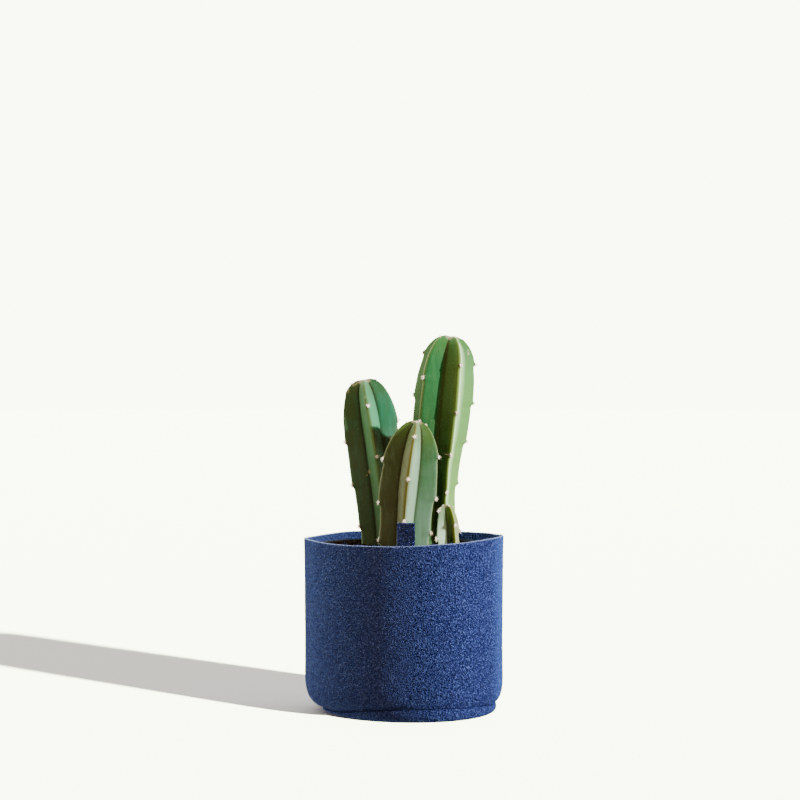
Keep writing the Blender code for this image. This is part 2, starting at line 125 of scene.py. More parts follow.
BACK_SEAM_DEPTH = 0.7 * MM
BACK_SEAM_WIDTH = 1.6
BACK_SEAM_STEPS = (0.5, 0.95, 2.0, 2.4)
STITCH_LENGTH = 4.2 * MM
STITCH_RADIUS = 0.22 * MM
STITCH_BOTTOM = 22 * MM
STITCH_TOP = 108 * MM
STITCH_SPACING = 2.6 * MM
STITCH_LEAN = radians(26)
STITCH_ARCH = radians(70)
STITCH_SUNK = 0.45 * MM

# Its tab: how round its edges are and how strong the painted highlight on them is, how many cuts cross it
# along Z and along X, and its waves.
TAG_ROUND = 0.7 * MM
TAG_EDGE_HIGHLIGHT = 0.4
TAG_CUTS = {2: 24, 0: 8}
TAG_WAVE = 0.35 * MM
TAG_WAVE_SIZE = 9 * MM

# Loose fibres, thicker than real ones, which are too fine to show: the length and the bend in radians of
# each shape, their thickness, their numbers and how they lie.
FUZZ_SHAPES = ((1.6 * MM, 1.2), (2.4 * MM, 2.2), (1.1 * MM, 0.7), (2.0 * MM, 3.0))
FUZZ_RADIUS = 0.045 * MM
FUZZ_COUNT = 4600
FUZZ_LEAN = (55, 85)
RIM_FUZZ_COUNT = 350
RIM_FUZZ_SPREAD = (0.05, 0.95)
RIM_FUZZ_RISE = 0.7

# Nursery pot, pushed back a little in the cover by the tab.
POT_Y = 1.2 * MM
POT_WALL = 1.0 * MM
POT_FLOOR_RADIUS = 43.0 * MM
POT_FOOT_ROUND = 1.5 * MM
POT_TOP_RADIUS = 57.8 * MM
POT_RIM_RADIUS = 60.0 * MM
POT_RIM_WALL = 1.6 * MM
POT_RIM_BOTTOM = 96.0 * MM
POT_TOP = 107.2 * MM
POT_LIP_ROUND = 0.5 * MM
POT_STEPS = 96
DRAIN_RADIUS = 3.5 * MM
DRAIN_RING = 33.0 * MM
DRAIN_COUNT = 6
WELD = 0.001 * MM
POT_FOOT = FELT + GAP
POT_CENTRE = Vector((0, POT_Y, 0))

# Soil.
SOIL_RADIUS = POT_RIM_RADIUS - POT_RIM_WALL - GAP
SOIL_EDGE = 105.2 * MM
SOIL_CROWN = 1.0 * MM
SOIL_RELIEF = 0.9 * MM
SOIL_LUMP = 7 * MM
SOIL_CRUMB_RELIEF = 0.45 * MM
SOIL_CRUMB = 1.9 * MM
SOIL_RINGS = 40
SOIL_STEPS = 160

# Loose crumbs on it: the piece, its material's name, colours and grain, then its seed, number, sizes and
# flatness.
CRUMBS = (
    ("peat_crumbs", ("peat", "#17120e", "#2a1c14", "#0a0807", 0.5 * MM),
        31, 1500, (0.5 * MM, 1.5 * MM), 0.8),
    ("bark_chips", ("bark", "#2c1c14", "#42291b", "#160e0a", 0.6 * MM),
        47, 260, (0.9 * MM, 2.4 * MM), 0.35),
    ("grit", ("grit", "#565048", "#7a7368", "#35312b", 0.5 * MM),
        59, 110, (0.3 * MM, 0.9 * MM), 0.8),
)
CRUMB_SHAPES = 6
CRUMB_ROUGHNESS = 0.28
CRUMB_WIDTHS = (0.5, 0.9)
CRUMB_LIFT = (-0.1, 0.5)
CRUMB_TILT = 0.5

# Ribbed outline of a stem, as shares of the distance from its middle to a crest.
SHARP_REACH = 1.13
CREST_ROUND = 0.12
FLANK_BULGE = 0.035
OUTLINE_STEPS = (0.0, 0.03, 0.07, 0.12, 0.18, 0.26, 0.36, 0.47, 0.59, 0.72, 0.84, 0.93, 1.0)
HOLE_STEPS = (0.0, 0.13, 0.38, 0.68, 1.0)
HOLE_CLEARANCE = 0.5 * MM
HOLE_ABOVE_SOIL = 19 * MM
ROOT_TAPER = 0.60
ROOT_ROUND = 6 * MM
ROOT_END = ((0.7, 0.82), (1.0, 0.45))
DOME_RINGS = (0.0003, 0.0008, 0.0014, 0.0023, 0.0034, 0.0050, 0.0068, 0.0092, 0.0118, 0.0150, 0.0185)
RING_STEP = 1.3 * MM
SLOPE_STEP = 0.2 * MM

# Unevenness of the skin: swells, and a chin at each cushion, whose underside is a share of the step to the
# next.
CHIN = 0.72 * MM
CHIN_DROP = 0.12
CHIN_FADE = 12 * MM
SKIN_SWELL = 0.22 * MM
SKIN_SWELL_SIZE = 11 * MM

# Wool cushions and spines on the crests. Bends are in radians and leans in degrees, and sizes are shares.
CUSHION = (1.10 * MM, 0.90 * MM, 1.40 * MM)
CUSHION_FOOT = (1.4 * MM, 0.5 * MM, 1.8 * MM)
CUSHION_SUNK = 0.3 * MM
TIP_CUSHION = 2.2 * MM
TIP_START = 0.4
TIP_LEAN = 0.5
TIP_SHARE = 0.6
CREST_STEP = 1.0 * MM
SOIL_MARGIN = 4 * MM
WOOL_COUNT = 46
WOOL_LENGTH = 1.3 * MM
WOOL_RADIUS = 0.07 * MM
WOOL_BENDS = (0.6, 1.3, 2.2)
WOOL_LEAN = (5, 80)
WOOL_SIZES = (0.5, 1.1)
WOOL_FOOT = 0.75
SPINE_LENGTH = 2.6 * MM
SPINE_RADIUS = 0.17 * MM
SPINE_BENDS = (0.1, 0.35)
SPINE_COUNTS = (3, 4, 4, 5)
SPINE_LEAN = (15, 65)
SPINE_SIZES = (0.55, 1.15)

# One stem. foot, bend and tip are the points of its middle line's curve, foot at the soil and tip at the
# top. girth is the reach of its crests at the foot and at its widest, and narrowing the distances below
# the tip between which it goes from the widest to the foot's. dome is the length of its rounded top and
# the power that makes it blunt. valley is the reach of its valleys as a share of the crests'. turn is the
# first rib's azimuth at the tip, twist how far the ribs turn down the whole stem, and root how deep it
# goes into the soil. areoles are the distances of each rib's first cushions below the tip, in the order of
# the ribs, and spacing is how far apart the others are. sun is the sun that lights it.
Stem = namedtuple(
    "Stem",
    "name foot bend tip girth narrowing dome ribs valley turn twist root areoles spacing sun",
    defaults=("key",),
)

STEMS = (
    Stem(
        name="stem_tall", foot=(0.0195, 0.0180, 0.1060), bend=(0.0205, 0.0180, 0.1750),
        tip=(0.0311, 0.0180, 0.2440), girth=(0.0142, 0.0202), narrowing=(0.045, 0.105),
        dome=(0.042, 0.40), ribs=5, valley=0.52, turn=26.0, twist=8.0, root=0.050,
        areoles=(
            (0.0190, 0.0504, 0.0786, 0.1035), (0.0165, 0.0428, 0.0690), (0.0250,), (0.0130,), (0.0299,),
        ),
        spacing=0.0285,
    ),
    Stem(
        name="stem_left", foot=(-0.0150, 0.0090, 0.1060), bend=(-0.0172, 0.0090, 0.1600),
        tip=(-0.0264, 0.0090, 0.2152), girth=(0.0146, 0.0185), narrowing=(0.045, 0.105),
        dome=(0.040, 0.40), ribs=5, valley=0.54, turn=-1.0, twist=15.0, root=0.045,
        areoles=((0.0176, 0.0510), (0.0294,), (0.0120,), (0.0220,), (0.0392, 0.0684, 0.0962)),
        spacing=0.0330, sun="second_key",
    ),
    Stem(
        name="stem_middle", foot=(0.0003, -0.0240, 0.1060), bend=(0.0010, -0.0240, 0.1450),
        tip=(0.0084, -0.0240, 0.1882), girth=(0.0166, 0.0189), narrowing=(0.042, 0.068),
        dome=(0.046, 0.50), ribs=5, valley=0.54, turn=0.5, twist=-3.0, root=0.040,
        areoles=(
            (0.0096, 0.0362, 0.0630), (0.0203, 0.0476, 0.0711), (0.0140,), (0.0170,),
            (0.0260, 0.0529, 0.0772),
        ),
        spacing=0.0272,
    ),
    Stem(
        name="stem_small", foot=(0.0286, -0.0180, 0.1060), bend=(0.0286, -0.0180, 0.1200),
        tip=(0.0270, -0.0180, 0.1342), girth=(0.0084, 0.0084), narrowing=(0.010, 0.020),
        dome=(0.024, 0.42), ribs=4, valley=0.44, turn=33.0, twist=0.0, root=0.022,
        areoles=((0.0132,), (0.0177,), (0.0100,), (0.0036,)), spacing=0.0184,
    ),
)

# Colours of each stem's skin. tip is the share and colour of its growing tip. flank is the plain skin, and
# sunny, shaded and backlit are lit and shaded copies of it, painted on the flanks that face the sun, lie
# out of it and face away from it. bloom is the powder on it and foot_bloom its share towards the foot. worn
# is the share and colour of the thin line on the crests, crest and crest_share those of the left shoulders
# of the front crests, and valley the colour of the valleys, which stands in for their shade. sun_reach is
# how far below the tip the sun
# reaches each rib: below it the skin is painted in shadow. aged is where the painted shade of the lower,
# unlit skin starts and is full, its share and its colour. glare is the share of a pale painted glare at the
# right.
Skin = namedtuple(
    "Skin",
    "tip flank sunny shaded backlit bloom foot_bloom worn crest crest_share valley sun_reach aged wax",
    defaults=((1.0,) * 5, (0.0, 1.0, 0.0, "#000000"), 0.0),
)

SKINS = {
    "stem_tall": Skin(
        tip=(0.7, "#3f7436"), flank="#236a36", sunny="#aded84", shaded="#54793d", backlit="#141d03",
        bloom="#5a9a60", foot_bloom=0.1, aged=(0.020, 0.100, 0.85, "#16240e"), worn=(0.35, "#b2cc84"),
        crest="#7f9a3c", crest_share=0.4, wax=0.62, valley="#5a6a38",
    ),
    "stem_left": Skin(
        tip=(0.45, "#46582a"), flank="#2b6e4c", sunny="#4e9a6f", shaded="#4a6840", backlit="#5e9466",
        sun_reach=(0.0322, 0.038, 1.0, 1.0, -1.0), bloom="#3f9a80", foot_bloom=0.1,
        aged=(0.025, 0.050, 0.55, "#5e725c"), worn=(0.08, "#abac6e"), crest="#6f8036", crest_share=0.4,
        valley="#2c3a20",
    ),
    "stem_middle": Skin(
        tip=(0.7, "#4c6a2c"), flank="#3a663d", sunny="#86ab8a", shaded="#50502d", backlit="#747f5e",
        bloom="#7ca088", foot_bloom=0.5, worn=(0.3, "#abac6e"), crest="#6a6820", crest_share=0.85,
        valley="#3a4020",
    ),
    "stem_small": Skin(
        tip=(0.7, "#648438"), flank="#ccfcd4", sunny="#9aa070", shaded="#1f2e06", backlit="#4a6a34",
        bloom="#a0bc98", foot_bloom=0.0, worn=(0.3, "#abac6e"), crest="#7f9430", crest_share=0.9,
        valley="#2f4a20",
    ),
}

# Painted sun and shade on the skin. The flanks painted as lit face SUN_SIDE. SUN_FADE is the soft edge of
# the painted shadow below sun_reach, and CAST_FADE how far below it that painted shadow is down by
# CAST_LOSS. The valleys are painted in shade up to NOTCH_WIDTH of the way to a crest: all the way down
# where they face away from the sun, and only to NOTCH_REACH below the tip where they face it.
SUN_SIDE = 75.0
SUN_FADE = 1.6 * MM
CAST_FADE = 25 * MM
CAST_LOSS = 0.75
NOTCH_WIDTH = 0.34
NOTCH_REACH = 32 * MM

# Ribs with coloured shoulders: the cosines of the azimuth where the front ribs start and how fast they are
# full, the azimuths of the ribs with a painted glare on their right shoulders, and of those with painted
# glare in the valley to their left.
FRONT_START = 0.25
FRONT_FADE = 0.5
GLARE_SHOULDERS = (-3, 60)
GLARE_VALLEYS = (75, 130)

# Values that the meshes carry for their materials. The felt's cut places a painted highlight along its cut
# edges and inside a painted shade on its inner wall; the skin's sunward and cast place painted light, shade
# and shadow, and shoulder below 0 a painted glare.
FELT_MAPS = ("cut", "inside")
SKIN_MAPS = ("crest", "shoulder", "along", "sunward", "cast", "scar")

# Corky scars: the stem, its place (distance below the tip, rib, angle in radians) and the size. SCAR_EDGE
# is how many sizes away a scar ends.
SCARS = (
    ("stem_left", (1.2 * MM, 4, 0.20), 1.3 * MM),
    ("stem_left", (2.2 * MM, 4, 0.14), 1.3 * MM),
    ("stem_left", (4.5 * MM, 4, 0.08), 1.3 * MM),
    ("stem_left", (7.0 * MM, 4, 0.12), 1.0 * MM),
    ("stem_left", (11 * MM, 4, 0.10), 0.9 * MM),
    ("stem_tall", (6.5 * MM, 1, -0.16), 1.1 * MM),
    ("stem_tall", (9.5 * MM, 1, -0.20), 1.2 * MM),
    ("stem_tall", (13.5 * MM, 1, -0.22), 1.1 * MM),
    ("stem_left", (8 * MM, 0, -0.08), 0.9 * MM),
    ("stem_left", (12 * MM, 0, -0.05), 0.8 * MM),
    ("stem_left", (60.5 * MM, 0, -0.50), 2.1 * MM),
    ("stem_left", (63.5 * MM, 4, 0.20), 0.8 * MM),
    ("stem_left", (65.5 * MM, 4, 0.33), 0.8 * MM),
    ("stem_left", (62.5 * MM, 4, 0.52), 1.0 * MM),
)
SCAR_EDGE = 1.6

# Longer spines: the stem, rib, number of its areole from the top, direction (sideways, out, up) and
# length.
LONG_SPINES = (
    ("stem_tall", 0, 2, (-1.0, 0.25, 0.15), 6.8 * MM),
    ("stem_middle", 1, 2, (-0.7, 0.6, 0.5), 4.0 * MM),
    ("stem_middle", 1, 2, (0.3, 0.6, 0.8), 3.6 * MM),
    ("stem_middle", 1, 2, (-0.5, 0.7, -0.6), 3.8 * MM),
)


def tint(hex_code):
    """Linear colour of an sRGB hex code."""
    shares = [int(hex_code[index : index + 2], 16) / 255 for index in (1, 3, 5)]
    return (*[s / 12.92 if s <= 0.04045 else ((s + 0.055) / 1.055) ** 2.4 for s in shares], 1.0)


def node(tree, kind, sockets=None, **settings):
    """Add a node with its settings. sockets gives inputs, by name or number, a value or another output."""
    made = tree.nodes.new(kind)
    for name, value in settings.items():
        setattr(made, name, value)
    for key, value in (sockets or {}).items():
        if isinstance(value, bpy.types.NodeSocket):
            tree.links.new(value, made.inputs[key])
        else:
            made.inputs[key].default_value = value
    return made


def ease(share):
    """Smooth step from 0 to 1."""
    share = min(max(share, 0.0), 1.0)
    return share * share * (3 - 2 * share)


def around(keys, azimuth):
    """Value at an azimuth, on a smooth curve through the keyed azimuths all round."""
    laps = [(angle + lap, value) for lap in (-360, 0, 360) for angle, value in keys]
    spans = zip(laps, laps[1:], laps[2:], laps[3:])
    before, start, end, after = next(span for span in spans if span[1][0] <= azimuth <= span[2][0])
    width = end[0] - start[0]
    start_slope = (end[1] - before[1]) / (end[0] - before[0]) * width
    end_slope = (after[1] - start[1]) / (after[0] - start[0]) * width
    share = (azimuth - start[0]) / width
    return (
        start[1] + (end[1] - start[1]) * ease(share)
        + start_slope * share * (1 - share) ** 2
        - end_slope * share * share * (1 - share)
    )


def curve_point(start, pull, end, share):
    """Point of a quadratic curve, in any number of dimensions."""
    rest = 1 - share
    return [rest * rest * a + 2 * rest * share * b + share * share * c for a, b, c in zip(start, pull, end)]


def compass(azimuth):
    """Horizontal direction at an azimuth."""
    angle = radians(azimuth)
    return Vector((sin(angle), -cos(angle), 0))


def ring_edges(bm, ring):
    return [bm.edges.get((ring[index - 1], vertex)) for index, vertex in enumerate(ring)]


def extrude_ring(bm, ring, points):
    """Extrude a closed ring of edges to new points, and return the new ring in the same order."""
    made = set(bmesh.ops.extrude_edge_only(bm, edges=ring_edges(bm, ring))["geom"])
    moved = []
    for vertex, point in zip(ring, points):
        others = [edge.other_vert(vertex) for edge in vertex.link_edges]
        twin = next(other for other in others if other in made)
        twin.co = point
        moved.append(twin)
    return moved


def loft(bm, rows, capped=()):
    """Closed rings of edges through rows of points, with faces that cap the rings numbered in capped."""
    first = [bm.verts.new(point) for point in rows[0]]
    for index, vertex in enumerate(first):
        bm.edges.new((first[index - 1], vertex))
    rings = [first]
    for points in rows[1:]:
        rings.append(extrude_ring(bm, rings[-1], points))
    for index in capped:
        bm.faces.new(rings[index])
    return rings


def arc(centre, radius, start, end, count):
    """Points on an arc about a centre, from one angle in degrees to another."""
    angles = [radians(start + (end - start) * index / count) for index in range(count + 1)]
    return [[centre[0] + radius * cos(angle), centre[1] + radius * sin(angle)] for angle in angles]


def between(start, end, count):
    """Even points from start up to, but without, end."""
    shares = [index / count for index in range(count)]
    return [[a + (b - a) * share for a, b in zip(start, end)] for share in shares]


def finished_mesh(bm):
    """Mesh of a bmesh, with its faces pointing outwards."""
    bmesh.ops.recalc_face_normals(bm, faces=bm.faces)
    mesh = bpy.data.meshes.new("mesh")
    bm.to_mesh(mesh)
    bm.free()
    return mesh


def add_piece(name, shape, material, replaced=(), sharp_angle=40, sun="key"):
    """Turn a bmesh or a mesh into a piece of the object, which rides on its one body."""
    mesh = finished_mesh(shape) if isinstance(shape, bmesh.types.BMesh) else shape
    mesh.name = name
    mesh.materials.append(material)
    mesh.shade_smooth()
    mesh.set_sharp_from_angle(angle=radians(sharp_angle))
    piece = bpy.data.objects.new(name, mesh)
    bpy.data.collections[sun].objects.link(piece)
    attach(piece, "root")
    if replaced:
        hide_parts(*replaced)
    return piece


def cut_out(body, cutters):
    """Cut bmesh shapes out of a piece in one Boolean."""
    folder = bpy.data.collections.new(body.name + "_cutters")
    tools = [bpy.data.objects.new("cutter", finished_mesh(bm)) for bm in cutters]
    for tool in tools:
        folder.objects.link(tool)
    step = body.modifiers.new("cut", "BOOLEAN")
    step.operation = "DIFFERENCE"
    step.operand_type = "COLLECTION"
    step.collection = folder
    step.solver = "EXACT"
    result = bpy.data.meshes.new_from_object(body.evaluated_get(bpy.context.evaluated_depsgraph_get()))
    body.modifiers.clear()
    body.data = result
    for tool in tools:
        bpy.data.objects.remove(tool, do_unlink=True)
    bpy.data.collections.remove(folder)


def template(bm):
    """Corners and faces of a small shape that is copied many times."""
    bmesh.ops.recalc_face_normals(bm, faces=bm.faces)
    bm.verts.index_update()
    corners = np.array([vertex.co for vertex in bm.verts])
    sides = [[vertex.index for vertex in face.verts] for face in bm.faces]
    bm.free()
    return corners, sides


def scatter(shapes, places):
    """Mesh of many copies. Each place is a shape's number and the matrix that puts a copy there."""
    points, faces, start = [], [], 0
    for number, matrix in places:
        corners, sides = shapes[number]
        turn = np.array(matrix)
        points.append(corners @ turn[:3, :3].T + turn[:3, 3])
        faces += [[start + corner for corner in side] for side in sides]
        start += len(corners)
    mesh = bpy.data.meshes.new("copies")
    mesh.from_pydata(np.concatenate(points).tolist(), [], faces)
    return mesh


def strand(length, radius, sides, segments, bend, taper):
    """Template of a bent hair or spine that starts at the origin along +Z and curls towards +X."""
    angles = [2 * pi * side / sides for side in range(sides)]
    spot = Vector()
    rows = []
    for step in range(segments + 1):
        turn = Matrix.Rotation(bend * step / segments, 3, "Y")
        girth = radius * (1 - taper * step / segments)
        rows.append([spot + turn @ Vector((girth * cos(angle), girth * sin(angle), 0)) for angle in angles])
        spot = spot + turn @ Vector((0, 0, length / segments))
    bm = bmesh.new()
    loft(bm, rows, capped=(0, -1))
    return template(bm)


def lump(seed, roughness):
    """Template of an uneven lump, about 1 in radius."""
    draw = Random(seed)
    bm = bmesh.new()
    bmesh.ops.create_icosphere(bm, subdivisions=1, radius=1.0)
    for vertex in bm.verts:
        vertex.co *= 1 + roughness * draw.uniform(-1, 1)
    return template(bm)


def pointing(direction, spin):
    """Turn that takes +Z to a direction, after a spin about +Z."""
    return direction.to_track_quat("Z", "Y").to_matrix().to_4x4() @ Matrix.Rotation(spin, 4, "Z")


def set_square(spot, sideways, outward, upward):
    """Matrix that takes X, Y and Z to three directions, and the origin to a spot."""
    turn = Matrix((sideways, outward, upward)).transposed().to_4x4()
    turn.translation = spot
    return turn


# Materials.
def new_material(name, sockets):
    """A Principled material with plain values. Gives it, its node tree, shader and object coordinates."""
    material = bpy.data.materials.new(name)
    material.use_nodes = True
    tree = material.node_tree
    shader = tree.nodes["Principled BSDF"]
    for socket, value in sockets.items():
        shader.inputs[socket].default_value = value
    return material, tree, shader, node(tree, "ShaderNodeTexCoord").outputs["Object"]


def layered(tree, colour, layers):
    """Layers of colour. Each is a pattern, where it starts and is full, its strength and its colour."""
    for pattern, start, full, strength, hex_code in layers:
        mask = node(
            tree,
            "ShaderNodeMapRange",
            {"Value": pattern, "From Min": start, "From Max": full, "To Max": strength},
            interpolation_type="SMOOTHSTEP",
        )
        sockets = {0: mask.outputs[0], 6: colour, 7: tint(hex_code)}
        colour = node(tree, "ShaderNodeMix", sockets, data_type="RGBA").outputs[2]
    return colour


def finish_surface(tree, shader, colour, relief, strength, depth):
    """Give the shader its colour, and a pattern as relief."""
    tree.links.new(colour, shader.inputs["Base Color"])
    bump = node(tree, "ShaderNodeBump", {"Height": relief, "Strength": strength, "Distance": depth})
    tree.links.new(bump.outputs[0], shader.inputs["Normal"])


def felt_material():
    """Needle-punched polyester felt, dyed navy: matted fibres in light and dark tufts, with painted glints
    and dark gaps on the sun side and more painted light and shade across the cover.

    Single fibres are too fine to show, so the grain is drawn as their tufts, 1 to 2 mm across.
    """
    material, tree, shader, place = new_material(
        "needle-punched felt",
        {
            "Roughness": 0.95,
            "Specular IOR Level": 0.04,
            "Sheen Weight": 0.04,
            "Sheen Roughness": 0.45,
            "Sheen Tint": tint("#6084f0"),
        },
    )
    cut, inside = (
        node(tree, "ShaderNodeAttribute", attribute_name=name).outputs["Fac"] for name in FELT_MAPS
    )
    fibres = node(
        tree,
        "ShaderNodeTexNoise",
        {"Vector": place, "Scale": 1 / (1.9 * MM), "Detail": 1.0, "Distortion": 0.5},
        noise_type="RIDGED_MULTIFRACTAL",
    ).outputs["Fac"]
    specks, patches = (
        node(
            tree, "ShaderNodeTexNoise", {"Vector": place, "Scale": 1 / size, "Detail": detail}
        ).outputs["Fac"]
        for size, detail in ((0.92 * MM, 1.0), (9 * MM, 2.0))
    )
    across, _, up = node(tree, "ShaderNodeSeparateXYZ", {0: place}).outputs
    sunlit = node(
        tree,
        "ShaderNodeMapRange",
        {"Value": across, "From Min": -0.15 * COVER_RADIUS, "From Max": 0.95 * COVER_RADIUS},
    ).outputs[0]
    # glints: painted highlights and dark gaps on the fibres, stronger towards the sun side
    offset = node(tree, "ShaderNodeMath", {0: specks, 1: 0.5}, operation="SUBTRACT").outputs[0]
    glints = node(tree, "ShaderNodeMath", {0: offset, 1: sunlit}, operation="MULTIPLY").outputs[0]
    colour = layered(
        tree,
        tint("#37467f"),
        (
            (patches, 0.40, 0.60, 0.5, "#2f3e75"),
            (fibres, 0.035, 0.0, 0.50, "#445a9e"),
            (specks, 0.50, 0.36, 0.70, "#202f6b"),
            (specks, 0.54, 0.68, 0.74, "#627bbd"),
            # painted shade: the sun side is drawn darker and flatter, under the painted glints and gaps
            # that follow
            (sunlit, 0.0, 1.0, 0.65, "#1b2970"),
            (glints, -0.008, -0.055, 0.95, "#03124e"),
            (glints, 0.027, 0.11, 0.66, "#6680dc"),
            # painted light right of the front, painted shade past it, a painted blue sheen at the right
            # edge and painted shade at the left edge
            (across, 0.20 * COVER_RADIUS, 0.45 * COVER_RADIUS, 0.045, "#7c8cdc"),
            (across, 0.58 * COVER_RADIUS, 0.80 * COVER_RADIUS, 0.22, "#10164a"),
            (across, 0.84 * COVER_RADIUS, COVER_RADIUS, 0.31, "#4c7ae4"),
            (across, -0.92 * COVER_RADIUS, -0.99 * COVER_RADIUS, 0.35, "#222d63"),
            # darker towards the bottom: painted shade
            (up, 80 * MM, 20 * MM, 0.15, "#1a2454"),
            # painted shade on the inner wall: deep at the right, lighter at the left
            (inside, 0.0, 1.0, 0.85, "#150f34"),
            (inside, 0.0, -1.0, 0.34, "#222547"),
            # painted highlight along the cut edges
            (cut, 0.2, 1.0, 0.80, "#97a8e2"),
        ),
    )
    finish_surface(tree, shader, colour, specks, strength=1.0, depth=2.4 * MM)
    return material


def fibre_material(name, hex_code, second_code):
    """Single fibres and wool: dull and soft, some lighter or darker than the next."""
    material, tree, shader, place = new_material(
        name,
        {"Roughness": 0.85, "Specular IOR Level": 0.15, "Sheen Weight": 0.2, "Sheen Roughness": 0.5},
    )
    tone = node(tree, "ShaderNodeTexNoise", {"Vector": place, "Scale": 1 / (1.6 * MM), "Detail": 1.0})
    colour = layered(tree, tint(hex_code), ((tone.outputs["Fac"], 0.42, 0.66, 0.9, second_code),))
    tree.links.new(colour, shader.inputs["Base Color"])
    return material


def plastic_material():
    """Injection-moulded polypropylene: black, with a fine dull grain and a little soil dust on it."""
    material, tree, shader, place = new_material(
        "moulded polypropylene", {"Roughness": 0.60, "Specular IOR Level": 0.12}
    )
    grain, dust = (
        node(
            tree, "ShaderNodeTexNoise", {"Vector": place, "Scale": 1 / size, "Detail": detail}
        ).outputs["Fac"]
        for size, detail in ((0.5 * MM, 3.0), (7 * MM, 4.0))
    )
    colour = layered(tree, tint("#0c0d0d"), ((dust, 0.5, 0.75, 0.5, "#1c1a17"),))
    finish_surface(tree, shader, colour, grain, strength=0.25, depth=0.1 * MM)
    return material


def earth_material(name, hex_code, light_code, dark_code, grain):
    """Peat, bark or grit: dry and crumbly, light on the fibres and dark in the pores."""
    material, tree, shader, place = new_material(name, {"Roughness": 0.95, "Specular IOR Level": 0.0})
    pores, tones = (
        node(
            tree,
            "ShaderNodeTexNoise",
            {"Vector": place, "Scale": 1 / size, "Detail": detail, "Roughness": roughness},
        ).outputs["Fac"]
        for size, detail, roughness in ((grain, 4.0, 0.65), (6 * grain, 2.0, 0.5))
    )
    layers = ((tones, 0.45, 0.70, 0.8, light_code), (pores, 0.50, 0.32, 0.9, dark_code))
    colour = layered(tree, tint(hex_code), layers)
    finish_surface(tree, shader, colour, pores, strength=0.8, depth=0.5 * grain)
    return material


def skin_material(stem):
    """Waxy cactus skin: green, with powdery bloom, a worn tan line on crests, scars, freckles, and painted
    light and shade.
    """
    skin = SKINS[stem.name]
    material, tree, shader, place = new_material(
        stem.name + " waxy skin", {"Roughness": 0.45, "Specular IOR Level": 0.06}
    )
    crest, shoulder, along, sunward, cast, scar = (
        node(tree, "ShaderNodeAttribute", attribute_name=name).outputs["Fac"] for name in SKIN_MAPS
    )
    drawn_out = node(tree, "ShaderNodeMapping", {"Vector": place, "Scale": (1.0, 1.0, 0.12)}).outputs[0]
    streaks, blotches, pores = (
        node(
            tree,
            "ShaderNodeTexNoise",
            {"Vector": spread, "Scale": 1 / size, "Detail": detail, "Roughness": roughness},
        ).outputs["Fac"]
        for spread, size, detail, roughness in (
            (drawn_out, 3 * MM, 3.0, 0.6),
            (place, 14 * MM, 3.0, 0.5),
            (place, 0.8 * MM, 2.0, 0.5),
        )
    )
    ragged = node(tree, "ShaderNodeMath", {0: scar, 1: pores}, operation="MULTIPLY").outputs[0]
    colour = layered(
        tree,
        tint(skin.flank),
        (
            (along, 0.015, 0.075, skin.foot_bloom, skin.bloom),
            # painted light and shade: lit and shaded copies of the skin, by how each flank faces the sun
            (sunward, 0.35, 0.0, 1.0, skin.shaded),
            # painted shade on the lower, unlit skin
            (along, *skin.aged),
            (sunward, 0.62, 0.98, 1.0, skin.sunny),
            (sunward, -0.50, -0.75, 1.0, skin.backlit),
            (along, 0.022, 0.003, *skin.tip),
            # painted shadow below sun_reach, and painted shade in the valleys
            (cast, 0.0, 1.0, 0.80, "#2c2a16"),
            (blotches, 0.45, 0.65, 0.10, skin.bloom),
            (streaks, 0.53, 0.64, 0.12, skin.bloom),
            (streaks, 0.46, 0.36, 0.20, skin.shaded),
            # the valleys' colour, which stands in for their shade
            (crest, 0.25, 0.02, 0.55, skin.valley),
            (crest, 0.88, 1.00, *skin.worn),
            (along, 1.0 * MM, 0.3 * MM, 0.55, "#c8b79a"),
            (shoulder, 0.70, 0.95, skin.crest_share, skin.crest),
            # painted glare: a pale strip on right shoulders and in some valleys
            (shoulder, -0.50, -0.85, skin.wax, "#d6ffc8"),
            (ragged, 0.30, 0.55, 0.80, "#b0b48c"),
            (pores, 0.70, 0.76, 0.55, "#b9c2a0"),
        ),
    )
    relief = node(tree, "ShaderNodeMath", {0: streaks, 1: pores}, operation="ADD").outputs[0]
    finish_surface(tree, shader, colour, relief, strength=0.35, depth=0.25 * MM)
    return material


# Felt cover.
def rim_height(azimuth):
    """Height of the rim, which waves a little."""
    wave = noise.noise(compass(azimuth) * COVER_RADIUS / RIM_WAVE_SIZE)
    return around(RIM_HEIGHT, azimuth) + RIM_WAVE * wave


